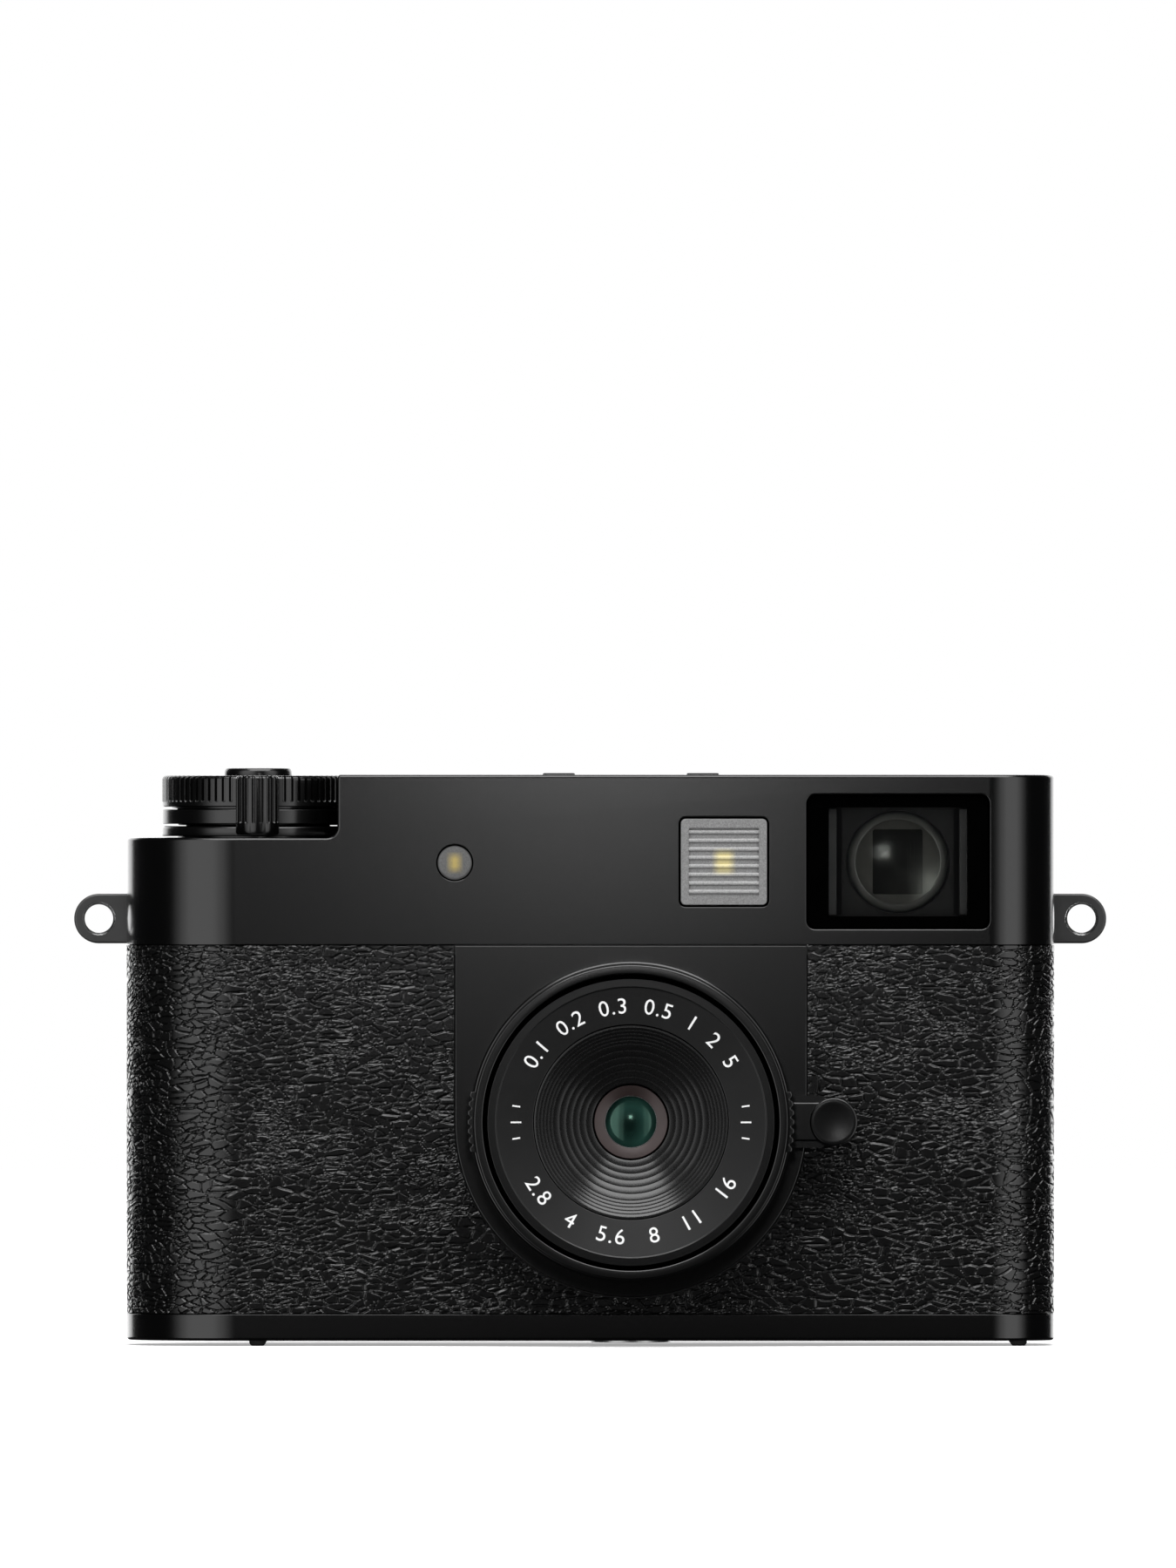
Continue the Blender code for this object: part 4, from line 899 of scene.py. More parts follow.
def make_lens_panel():
    plate = prism(lambda inset: shield(PANEL_RADIUS - inset, COVER_Z - GAP - inset), -0.6, 0, round_high=0.12)
    top = COVER_Z - GAP - LENS_Z
    tongue = block(
        (-PANEL_RADIUS - 0.1, top - 1, -0.6), (PANEL_RADIUS + 0.1, top + GAP + TONGUE - 0.06, -REBATE)
)
    hole = rod(16.3, -5, 5, steps=TURN_STEPS)
    make_piece(
        "lens_panel_plate", [(cut(join(plate, tongue), hole), "paint")], "root", ["lens_panel"],
        LENS
)


def make_lugs():
    """Each lug's bar is a plate with a chamfered eye, whose edge is worn bright by the strap's ring."""
    for name, side in (("lug_left", -1), ("lug_right", 1)):
        low, high = box_mm(name)
        radius, half = (high.z - low.z) / 2, (high.y - low.y) / 2
        centre = (side * (max(-low.x, high.x) - radius), (low.z + high.z) / 2)
        forward = FRONT_Y - (low.y + high.y) / 2
        root = side * 50.4

        def outline(inset, centre=centre, radius=radius, side=side, root=root):
            r, steps = radius - inset, 40
            angles = [pi / 2 - pi * i / steps for i in range(steps + 1)]
            arc = [(centre[0] + side * r * cos(a), centre[1] + r * sin(a)) for a in angles]
            return [*arc, (root, centre[1] - r), (root, centre[1] + r)]

        bar = prism(outline, forward - half, forward + half, round_low=0.25, round_high=0.25)
        eye, flare = 1.62, 0.32
        profile = [(0, 2), (eye + flare, 2), (eye + flare, half + 0.01), (eye, half - flare)]
        profile += [(r, -h) for r, h in reversed(profile)]
        drill = moved(turned(profile, 96), Matrix.Translation((*centre, forward)))
        lining_profile = [(eye, half - flare), (eye + flare - 0.03, half - 0.02), (eye + flare, half - 0.2)]
        lining_profile += [(r, -h) for r, h in reversed(lining_profile)]
        lining = moved(turned(lining_profile, 96), Matrix.Translation((*centre, forward)))
        parts = [(cut(bar, drill), "dark_metal"), (lining, "bright_edge")]
        make_piece(f"strap_{name}", parts, "root", [name], FRONT)


def make_shoe():
    low, high = box_mm("shoe_rails")
    half, sheet, lip_half = (high.x - low.x) / 2, 0.85, 6.35
    floor, top, front, rear = low.z + sheet, high.z, low.y, 16.0
    wall, lip = half - sheet, top - sheet
    right = [(wall, floor), (wall, lip), (lip_half, lip), (lip_half, top), (half, top), (half, low.z)]
    outline = [(LENS_X + x, z) for x, z in right] + [(LENS_X - x, z) for x, z in reversed(right)]
    rails = plain_prism(softened(outline, 0.22), FRONT_Y - rear, FRONT_Y - front)
    tail = moved(block((low.x, rear - 1, low.z), (high.x, high.y, floor), 0.05), FRONT.inverted())
    shoe = join(rails, tail)
    round_edges(shoe, 0.08, lambda p: p.z > FRONT_Y - front - 0.001, segments=2)
    make_piece("accessory_shoe", [(shoe, "metal")], "root", ["shoe_rails"], FRONT)
    low, high = box_mm("shoe_spring")
    middle_x, width = (low.x + high.x) / 2, high.x - low.x
    steps, thickness = 40, 0.12
    line = []
    for i in range(steps + 1):
        share = i / steps
        line.append((low.y + (high.y - low.y) * share, high.z - thickness - 0.3 * sin(pi * share) ** 2))
    outline = line + [(y, z + thickness) for y, z in reversed(line)]
    strip = moved(plain_prism(outline, -width / 2, width / 2), Matrix.Rotation(radians(90), 4, "Z") @ UPRIGHT)
    strip = moved(strip, Matrix.Translation((middle_x, 0, 0)))
    make_piece("shoe_leaf_spring", [(strip, "steel")], "root", ["shoe_spring"])


def make_feet_and_screws():
    for name in FEET:
        low, high = box_mm(name)
        radius, place = (high.x - low.x) / 2, ((low.x + high.x) / 2, (low.y + high.y) / 2, 0)
        profile = [(0, 0), (radius - 0.25, 0), (radius, 0.3), (radius, high.z), (0, high.z)]
        foot = turned(softened(profile, 0.12), 48)
        make_piece(f"rubber_{name}", [(foot, "rubber")], "root", [name], Matrix.Translation(place))
    for name in SCREWS:
        low, high = box_mm(name)
        head, place = (high.x - low.x) / 2, ((low.x + high.x) / 2, (low.y + high.y) / 2, 0)
        bottom, stem, seat = low.z, 0.6, low.z + 0.7
        turns = [(stem - 0.12 * (i % 2), seat + 0.1 + 0.2 * i) for i in range(9)]
        profile = [(0, bottom), (head, bottom), (head, seat), (stem, seat), *turns, (0, high.z)]
        screw = turned(softened(profile, 0.06), 64)
        slots = []
        for turn in (0, pi / 2):
            slot = block((-0.72, -0.13, bottom - 1), (0.72, 0.13, bottom + 0.45))
            slots.append(moved(slot, Matrix.Rotation(turn + 0.4, 4, "Z")))
        screw = cut(screw, *slots)
        make_piece(
            f"cross_{name}", [(screw, "metal")], "root", [name], Matrix.Translation(place)
)


def make_tripod_socket():
    low, high = box_mm("tripod_socket")
    place = Matrix.Translation(((low.x + high.x) / 2, (low.y + high.y) / 2, 0))
    radius, bore, pitch, thread = (high.x - low.x) / 2, 3.1, 1.27, 0.35
    floor, flange_top = high.z - 0.9, BASE_Z + WALL - 0.1
    threads = []
    for i in range(4):
        middle = low.z + 0.7 + pitch * (i + 0.5)
        threads += [(bore, middle - 0.45 * pitch), (bore + thread, middle)]
    profile = [(0, high.z), (radius - 0.3, high.z), (radius - 0.3, flange_top), (radius, flange_top)]
    profile += [
        (radius, low.z), (bore + 0.5, low.z), (bore, low.z + 0.5), *threads, (bore, floor), (0, floor)
]
    socket = turned(softened(profile, 0.08), 128)
    make_piece("tripod_bush", [(socket, "steel")], "root", ["tripod_socket"], place)


def make_battery_door():
    low, high = box_mm("battery_door")
    pin = middle_of("door_pin")
    plate_end, knuckle, inner = pin.y - 1.35, 0.85, 1.3
    plate = block((low.x, low.y, low.z), (high.x, plate_end, low.z + WALL), 0.12)
    web = block((low.x + inner, plate_end - 1, pin.z - 0.6), (high.x - inner, pin.y, pin.z + 0.1))
    barrel = moved(rod(knuckle, low.x + inner, high.x - inner, steps=48), turn_to_x(pin))
    bore = moved(rod(0.55, low.x - 1, high.x + 1, steps=32), turn_to_x(pin))
    latch_low, latch_high = box_mm("door_latch")
    pocket = block(
        (latch_low.x - 0.3, latch_low.y - 0.3, low.z - 1),
        (latch_high.x + 4.5, latch_high.y + 0.3, low.z + 0.55)
)
    door = cut(join(plate, web, barrel), bore, pocket)
    round_edges(door, 0.1, lambda p: p.z < low.z + 0.001, segments=2)
    make_piece("battery_door_plate", [(door, "paint")], "battery_door", ["battery_door"])
    slide = block(latch_low, latch_high, 0.08)
    ribs = []
    for i in range(5):
        x = latch_low.x + 1.1 + 0.75 * i
        ribs.append(
            block(
                (x, latch_low.y + 0.6, latch_low.z - 0.02),
                (x + 0.35, latch_high.y - 0.6, latch_low.z + 0.1)
)
)
    make_piece(
        "door_latch_slide", [(cut(slide, *ribs), "plastic")], "door_latch", ["door_latch"]
)


def turn_to_x(place):
    """Lays an upright piece along +X, on a line through a place."""
    return Matrix.Translation((0, place.y, place.z)) @ Matrix.Rotation(radians(90), 4, "Y")


def make_port_door():
    low, high = box_mm("port_door")
    door = block(low, high, 0.12)
    thumb = block((high.x - 0.35, low.y + 0.6, high.z - 3.2), (high.x + 1, low.y + 1.6, high.z - 0.8), 0.1)
    lip = 0.55
    ring = cut(
        block((high.x - 0.18, low.y + lip, low.z + lip), (high.x + 1, high.y - lip, high.z - lip)),
        block(
            (high.x - 1, low.y + lip + 0.15, low.z + lip + 0.15),
            (high.x + 2, high.y - lip - 0.15, high.z - lip - 0.15)
),
    )
    door = cut(door, thumb, ring)
    make_piece("port_door_cover", [(door, "rubber")], "port_door", ["port_door"])


# ---- Windows and finder ----


def make_finder():
    """The recess with its matt frame, the pane, and behind it the shade with the stepped tunnel."""
    x, z = FINDER.x, FINDER.z
    low, high = box_mm("finder_frame")
    size = (high.x - low.x, high.z - low.z)
    pane_low, pane_high = box_mm("finder_window")
    pane = (pane_high.x - pane_low.x, pane_high.z - pane_low.z)
    surround = panel(x, z, size, 0.85, -2.0, -0.5, round_high=0.15)
    surround = cut(surround, panel(x, z, (pane[0] + 0.3, pane[1] + 0.3), 0.35, -5, 5))
    flange = window_flange(x, z, size, 0.8, (1.2, 0.7), -1.25, -1.06)
    make_piece(
        "finder_surround", [(surround, "matte"), (flange, "matte")], "root", ["finder_frame"],
        FRONT
)
    glass = panel(x, z, pane, 0.2, -1.6, -0.9, round_high=0.06)
    make_piece("finder_pane", [(glass, "pane")], "root", ["finder_window"], FRONT)

    tube_low, tube_high = box_mm("finder_tube")
    mouth = box_mm("finder_objective")[1].x - x + GAP
    front = FRONT_Y - tube_low.y
    body = moved(block(tube_low, tube_high), FRONT.inverted())
    steps = [(5.6, 7.3, 0), (4.7, 6.2, 2.4), (3.8, 5.1, 3.6), (3.0, 4.0, 4.8), (2.3, 3.0, 6.0)]
    holes = [rod(mouth, front - 2.9, front + 5, (x, z))]
    for width, height, depth in steps:
        holes.append(panel(x, z, (width, height), 0.25, front - max(depth, 3) - 2.6, front - depth + 0.5))
    tube = cut(body, *holes)
    edge, bar, gap = pane[0] / 2, 0.9, 0.62
    bars, slots = [], []
    for side in (-1, 1):
        x0, x1 = sorted((x + side * edge, x + side * (edge - bar)))
        bars.append(
            moved(
                block(
                    (x0, tube_low.y - 1.2, z - pane[1] / 2), (x1, tube_low.y - 0.02, z + pane[1] / 2), 0.08
),
                FRONT.inverted()
)
)
        x0, x1 = sorted((x + side * (edge - bar), x + side * (edge - bar - gap)))
        slots.append(
            moved(
                block((x0, tube_low.y - 1, z - pane[1] / 2), (x1, tube_low.y + 2.5, z + pane[1] / 2)),
                FRONT.inverted()
)
)
    tube = cut(tube, *slots)
    floor = cut(rod(mouth - 0.06, front - 2.95, front - 2.75, (x, z)), panel(x, z, (5.7, 7.4), 0.3, -20, 5))
    parts = [(tube, "shade"), (floor, "rim"), *((solid, "bar") for solid in bars)]
    make_piece("finder_shade", parts, "root", ["finder_tube"], FRONT)

    radius = mouth - GAP
    profile = [(0, 2.0), *dished(radius - 0.95, 1.75, 2.0), (radius - 0.3, 1.5), (radius, 1.1), (radius, 0.6)]
    profile += [(radius - 1.0, 0.45), (0, 0.45)]
    dome = turned(softened(profile, 0.08), 128)
    place = FRONT @ Matrix.Translation((x, z, FRONT_Y - box_mm("finder_objective")[1].y))
    rim_profile = [(radius - 0.95, 0.2), (radius, 0.2), (radius, 0.9), (radius - 0.95, 1.1)]
    rim = turned(softened(rim_profile, 0.1), 128)
    make_piece("finder_lens", [(dome, "coated"), (rim, "rim")], "root", ["finder_objective"], place)


def make_eyepiece():
    x, z = -FINDER.x, FINDER.z
    low, high = box_mm("eyepiece_frame")
    size, proud = (high.x - low.x, high.z - low.z), high.y - REAR_Y
    width, height = 13.2, 9.2
    rim = panel(x, z, size, 2.0, GAP, proud, round_low=0.1, round_high=0.55)
    sleeve = panel(x, z, (width - 0.3, height - 0.3), 0.85, -3.4, 0.6)
    bore = panel(x, z, (width - 3.6, height - 2.2), 0.6, -5, 5)
    funnel = prism(
        lambda inset: centred(
            x, z, (width - 1.6 - 2 * inset, height - 0.6 - 2 * inset), 0.9
), proud - 0.45, proud + 1, round_low=0.3
    )
    frame_solid = cut(join(rim, sleeve), bore, funnel)
    make_piece("eyepiece_surround", [(frame_solid, "rubber")], "root", ["eyepiece_frame"], REAR)
    lens = panel(x, z, (width - 3.9, height - 2.5), 0.5, -2.4, -1.0, round_high=0.25)
    make_piece("eyepiece_glass", [(lens, "display")], "root", ["eyepiece_lens"], REAR)


def make_lights():
    """The flash window is ribbed behind a frosted face; the lamp window is plain and frosted."""
    low, high = box_mm("flash_window")
    side, face = high.x - low.x, FRONT_Y - low.y
    ribbed, pitch = (8.0, 7.75), 0.97
    pane = panel(FLASH.x, FLASH.z, (side, side), 0.55, face - 1.1, face, round_high=0.12)
    pane = cut(pane, panel(FLASH.x, FLASH.z, ribbed, 0.15, face - 0.3, face + 1))
    ribs = []
    for i in range(8):
        z = FLASH.z + pitch * (i - 3.5)
        profile = softened([(-0.26, -0.1), (0.26, -0.1), (0.2, 0.26), (-0.2, 0.26)], 0.15)
        rib = loft(
            [[(x, z + u, face - 0.36 + v) for u, v in profile] for x in (FLASH.x - 4.02, FLASH.x + 4.02)]
)
        ribs.append((rib, "rib"))
    flange = window_flange(FLASH.x, FLASH.z, (side, side), 0.9, (0.8, 0.5), face - 1.16, face - 0.98)
    make_piece(
        "flash_diffuser", [(pane, "flash"), (flange, "matte"), *ribs], "root", ["flash_window"],
        FRONT
)
    low, high = box_mm("lamp_window")
    radius, face = (high.x - low.x) / 2, FRONT_Y - low.y
    profile = [(0, face + 0.02), *dished(radius - 0.15, face - 0.06, face + 0.02), (radius, face - 0.2)]
    profile += [(radius, face - 1.35), (0, face - 1.35)]
    lens = turned(profile, 96)
    flange = turned(
        [(radius - 0.2, -1.06), (radius + 0.5, -1.06), (radius + 0.5, -1.25), (radius - 0.2, -1.25)], 96
)
    place = FRONT @ Matrix.Translation((LAMP.x, LAMP.z, 0))
    make_piece(
        "focus_lamp_lens", [(lens, "lamp"), (flange, "matte")], "root", ["lamp_window"], place
)


# ---- Rear ----


def make_rear_panel():
    low, high = box_mm("rear_panel")
    step_x, joint_z = 24.5, COVER_Z - GAP
    outline = [
        (-low.x, low.z), (-low.x, high.z), (-step_x, high.z), (-step_x, joint_z), (-high.x, joint_z),
        (-high.x, low.z)
]
    plate = plain_prism(outline, low.y - REAR_Y, 0)
    windows = []
    for name, radius in (("main_display", 0.8), ("film_display", 0.8)):
        display_low, display_high = box_mm(name)
        middle = (display_low + display_high) / 2
        size = (display_high.x - display_low.x, display_high.z - display_low.z)
        windows.append(panel(-middle.x, middle.z, (size[0] + 0.3, size[1] + 0.3), radius, -5, 5))
        glass = panel(
            -middle.x, middle.z, size, 0.65, display_low.y - REAR_Y, display_high.y - REAR_Y,
            round_high=0.12
)
        lit = panel(
            -middle.x, middle.z, (size[0] - 5, size[1] - 6), 0.2, -0.3, display_high.y - REAR_Y + 0.004
)
        make_piece(f"{name}_glass", [(glass, "display"), (lit, "screen")], "root", [name], REAR)
    plate = cut(plate, *windows)
    round_edges(plate, 0.15, lambda p: p.z > -0.001)
    make_piece("rear_panel_plate", [(plate, "plastic")], "root", ["rear_panel"], REAR)


def make_rear_buttons():
    for name in ("play_button", "drive_button"):
        place = middle_of(name)
        low, high = box_mm(name)
        radius, face = 2.0, high.y - REAR_Y
        flange = (high.x - low.x) / 2
        seat, rear = -WALL - 0.7, low.y - REAR_Y
        profile = [
            (0, face - 0.16), *dished(radius - 0.35, face, face - 0.16), (radius, face - 0.2),
            (radius, seat)
]
        profile += [(flange, seat), (flange, rear), (0, rear)]
        cap = turned(softened(profile, 0.1), 96)
        mark = [
            (0.55, 0), (-0.35, 0.5), (-0.35, -0.5)
] if name == "play_button" else centred(0, 0, (1.1, 0.8), 0.1)
        sign = plain_prism(mark, face - 0.2, face - 0.08)
        axes = REAR @ Matrix.Translation((-place.x, place.z, 0))
        make_piece(f"{name}_cap", [(cap, "metal"), (sign, "ink")], name, [name], axes)


# ---- Lens: local +Z is forwards ----


NAME_RING_OUTER = BEZEL_RADIUS - 1.6
NAME_RING_EDGE = 15.33
CONE_RADIUS = 11.0


def make_bezel():
    """The outer rim, with a dark gap round the inside that the name ring's flange stops short of."""
    top, skirt, gap_radius = LENS_LENGTH, 11.8, 16.86
    profile = [
        (gap_radius, top - 0.06),
        (gap_radius + 0.1, top),
        (BEZEL_RADIUS - 0.14, top),
        (BEZEL_RADIUS, top - 0.14),
        (BEZEL_RADIUS, skirt),
        (16.9, skirt),
        (16.9, 13.1),
        (gap_radius, 13.1),
    ]
    ring = turned(softened(profile, 0.07, 4))
    seat = turned(
        [
            (16.88, 13.15), (16.88, skirt + 0.05), (16.4, skirt + 0.05), (16.4, 12.35), (14.9, 12.35),
            (14.9, 13.15)
]
)
    make_piece("bezel_ring", [(ring, "ring"), (seat, "matte")], "root", ["front_bezel"], LENS)


def ring_text(text, size, radius, start, is_low):
    """Raised numerals bent round an arc: tops outwards on the upper arc, inwards on the lower one."""
    curve = bpy.data.curves.new("numerals", "FONT")
    curve.body = text
    curve.size = size
    curve.align_x = "CENTER"
    curve.align_y = "CENTER"
    curve.space_character = 1.12
    curve.resolution_u = 4
    curve.extrude = 0.03
    obj = bpy.data.objects.new("numerals", curve)
    bpy.context.scene.collection.objects.link(obj)
    mesh = bpy.data.meshes.new_from_object(obj.evaluated_get(bpy.context.evaluated_depsgraph_get()))
    solid = bmesh.new()
    solid.from_mesh(mesh)
    bpy.data.meshes.remove(mesh)
    bpy.data.objects.remove(obj)
    bpy.data.curves.remove(curve)
    for vertex in solid.verts:
        x, y, z = vertex.co
        reach = radius - y if is_low else radius + y
        angle = start + (x if is_low else -x) / radius
        vertex.co = (reach * cos(angle), reach * sin(angle), name_ring_height(reach) + z)
    return solid


def name_ring_height(radius):
    """The name ring's face falls towards the middle, so that its lower half faces up a little."""
    share = (radius - CONE_RADIUS) / (NAME_RING_EDGE - CONE_RADIUS)
    return 13.76 + 0.25 * share


def make_name_ring():
    inner, outer = CONE_RADIUS + 0.12, NAME_RING_OUTER
    bottom = FRONT_Y - box_mm("name_ring")[1].y
    flange = bottom + 0.8
    profile = [
        (inner, name_ring_height(inner)),
        (NAME_RING_EDGE, name_ring_height(NAME_RING_EDGE)),
        (NAME_RING_EDGE + 0.06, flange),
        (outer, flange),
        (outer, bottom),
        (inner, bottom),
    ]
    ring = turned(softened(profile, 0.05))
    flange_top = turned(
        [
            (NAME_RING_EDGE + 0.12, flange - 0.1), (NAME_RING_EDGE + 0.12, flange + 0.01),
            (outer - 0.06, flange + 0.01), (outer - 0.06, flange - 0.1)
]
)
    make_piece(
        "name_ring_face", [(ring, "face"), (flange_top, "ring")], "root", ["name_ring"], LENS
)
    middle = 13.15
    marks = [
        ring_text(SCALE_ABOVE, 2.5, middle, pi / 2, False),
        ring_text(SCALE_BELOW, 2.5, middle, -pi / 2, True)
]
    for angle in (-8, 8, 172, 188, 0, 180):
        length = 0.9 if angle % 180 else 1.4
        tick = block((middle - length / 2, -0.09, -0.03), (middle + length / 2, 0.09, 0.03))
        lean = Matrix.Rotation(radians(angle), 4, "Z") @ Matrix.Translation((0, 0, name_ring_height(middle)))
        marks.append(moved(tick, lean))
    parts = [(solid, "ink") for solid in marks]
    make_piece("lens_scale_marks", parts, "root", (), LENS)


SCALE_ABOVE = "0.1  0.2  0.3  0.5  1  2  5"
SCALE_BELOW = "2.8   4   5.6   8   11   16"


def stepped_cone(outer, inner, treads, slope, lip):
    """Profile of a stepped funnel between two (radius, height) points. Each tread slopes less than
    the funnel does, starts behind a thin lip and ends in a short riser."""
    points = []
    for i in range(treads):
        radius = outer[0] + (inner[0] - outer[0]) * i / treads
        height = outer[1] + (inner[1] - outer[1]) * i / treads
        end = outer[0] + (inner[0] - outer[0]) * (i + 1) / treads + 0.03
        points += [(radius, height + lip), (radius - 0.06, height + lip), (radius - 0.1, height - 0.02)]
        points.append((end, height - (radius - 0.1 - end) * tan(radians(slope))))
    return points


def make_baffle():
    """A stepped funnel: fine steps on its steep outer part, and wider treads on its inner cone."""
    rim, knee, eye = (CONE_RADIUS - 0.15, 13.6), (8.9, 11.35), (4.35, 7.5)
    face = [(CONE_RADIUS, rim[1] - 0.35), (CONE_RADIUS, rim[1])]
    face += stepped_cone(rim, knee, 5, 37, 0.03)
    face += stepped_cone(knee, eye, 6, 33, 0.04)
    back = [(eye[0], eye[1] - 0.1), (eye[0], 6.6), (eye[0] + 1.0, 6.6), (CONE_RADIUS, 11.9)]
    make_piece(
        "baffle_funnel", [(turned(face + back), "funnel")], "root", ["baffle_cone"], LENS
)


def make_front_optics():
    """The front cell's sloping ring, its polished lip, and the domed glass with a second surface under it."""
    cell_low = FRONT_Y - box_mm("front_cell")[1].y
    outer, bore = 4.2, 2.9
    profile = [
        (bore, cell_low + 1.9), (bore + 0.1, cell_low + 1.98), (outer - 0.05, cell_low + 2.4),
        (outer, cell_low + 2.3), (outer, cell_low), (3.6, cell_low), (3.6, cell_low + 1.2),
        (bore, cell_low + 1.4)
]
    ring = turned(softened(profile, 0.04))
    lip_profile = [
        (bore - 0.06, cell_low + 1.75), (bore + 0.01, cell_low + 1.98), (bore + 0.09, cell_low + 1.99),
        (bore + 0.09, cell_low + 1.7)
]
    lip = turned(softened(lip_profile, 0.03))
    make_piece("front_cell_ring", [(ring, "cell"), (lip, "lip")], "root", ["front_cell"], LENS)
    low = FRONT_Y - box_mm("front_lens")[1].y
    top = FRONT_Y - box_mm("front_lens")[0].y
    dome = turned([(0, top), *dished(bore - 0.05, top - 0.42, top), (3.25, top - 0.5), (3.3, low), (0, low)])
    make_piece("front_lens_glass", [(dome, "lens_glass")], "root", ["front_lens"], LENS)


def make_focus_ring():
    low_box, high_box = box_mm("focus_ring")
    low, high = 0.6, 5.3
    bore, radius, arm_reach, knob = 16.1, LENS_X - low_box.x, high_box.x - LENS_X - 2.72, 2.72
    profile = chamfered(bore, radius, low, high, 0.25)
    ring = turned(softened(profile, 0.1))
    arm_outline = softened(
        [(radius - 1, -2.95), (arm_reach - 1, -2.95), (arm_reach - 1, 2.95), (radius - 1, 2.95)], 0.5
)
    arm = prism(lambda inset: arm_outline, low + 1.1, high - 1.6)
    neck = block((radius - 0.8, -2.2, low + 1.1), (arm_reach, 2.2, high - 1.1), 0.2)
    top = FRONT_Y - low_box.y
    knob_profile = [
        (0, top - 0.1), *dished(knob - 0.5, top, top - 0.1), (knob, top - 0.02), (knob, top - 1.6)
]
    knob_profile += [
        (knob - 0.3, top - 1.7), (knob - 0.3, top - 2.0), (knob, top - 2.1), (knob, low + 0.9),
        (0, low + 0.9)
]
    disc = turned(softened(knob_profile, 0.22, 5), 96)
    disc = moved(disc, Matrix.Translation((arm_reach, 0, 0)))
    ring = join(ring, arm, neck, disc)
    make_piece("focus_ring_body", [(ring, "metal")], "focus_ring", ["focus_ring"], LENS)


def make_aperture_ring():
    """A smooth ring whose two finger pads stand out and are cut with upright grooves."""
    low_box, high_box = box_mm("aperture_ring")
    low, high, bore, radius = 5.7, 11.5, 16.1, 17.6
    pad_radius = (high_box.x - low_box.x) / 2
    profile = chamfered(bore, radius, low, high, 0.3)
    ring = turned(softened(profile, 0.1))
    half_angle = asin(3.7 / pad_radius)
    grooves, steps = 7, 84
    for middle in (0, pi):
        angles = [middle + half_angle * (2 * i / steps - 1) for i in range(steps + 1)]

        def outline(inset, angles=angles, middle=middle):
            outer = []
            for a in angles:
                share = (a - middle) / half_angle
                wave = 0.5 + 0.5 * cos(2 * pi * grooves * (share + 1) / 2 + pi)
                edge = min(1.0, (1 - abs(share)) / 0.06)
                r = radius - 0.3 + (pad_radius - radius + 0.3 - 0.36 * (1 - wave) ** 2) * edge - inset
                outer.append((r * cos(a), r * sin(a)))
            inner = [((radius - 0.6) * cos(a), (radius - 0.6) * sin(a)) for a in (angles[-1], angles[0])]
            return outer + inner

        ring = join(ring, prism(outline, low + 0.6, high - 0.6, round_low=0.25, round_high=0.25, steps=3))
    make_piece(
        "aperture_ring_body", [(ring, "metal")], "aperture_ring", ["aperture_ring"], LENS
)


# ---- Top controls ----


def slot_depth(distance, half_width, depth, edge=0.1):
    """Depth of a milled slot at a distance from its middle line."""
    share = min(1.0, max(0.0, (half_width - distance) / edge))
    return depth * share * share * (3 - 2 * share)


def make_dial():
    low, high, radius = DIAL_Z[0], DIAL_Z[1], STACK_RADIUS
    knurls, samples, groove_low = 78, 12, low + 0.75
    half_width = 0.2
    pitch = 2 * pi / knurls

    def grooved(r, height, angle):
        if r < radius - 0.9 or height < low:
            return r
        across = abs((angle + pitch / 2) % pitch - pitch / 2) * radius
        below = max(0.0, groove_low - height)
        return r - slot_depth((across**2 + below**2) ** 0.5, half_width, 0.34)

    bore, hub, counterbore, skirt = 4.15, 5.3, 63.3, low - 0.2
    side = [
        (radius, high - 0.55 - (high - 0.55 - low) * share) for share in (
            0, 0.3, 0.55, 0.66, 0.7, 0.73, 0.76, 0.79, 0.82, 0.85, 0.9
)
]
    shoulder = [
        (radius - 0.5 + 0.5 * sin(t), high - 0.5 + 0.5 * cos(t)) for t in (0, 0.3, 0.6, 0.9, 1.2, 1.5)
]
    profile = [
        (bore, high - 0.3), (bore + 0.1, high - 0.08), (bore + 0.3, high), (radius - 1.4, high),
        (radius - 1.3, high - 0.05)
]
    profile += [
        (radius - 1.1, high - 0.05), (radius - 1.0, high), *shoulder, *side, (radius, low + 0.12),
        (radius - 0.12, low)
]
    recess = skirt + 0.3
    profile += [(9.9, low), (9.9, skirt), (STEP_RADIUS, skirt), (STEP_RADIUS, recess), (hub, recess)]
    profile += [(hub, counterbore), (bore, counterbore)]
    dial = turned(profile, knurls * samples, grooved)
    marks = []
    for i in range(24):
        length = 1.1 if i % 3 == 0 else 0.6
        tick = block((radius - 1.7 - length, -0.06, high - 0.02), (radius - 1.7, 0.06, high + 0.004))
        marks.append((moved(tick, Matrix.Rotation(2 * pi * i / 24, 4, "Z")), "ink"))
    make_piece(
        "exposure_dial_knob", [(dial, "metal"), *marks], "exposure_dial", ["exposure_dial"],
        DIAL
)


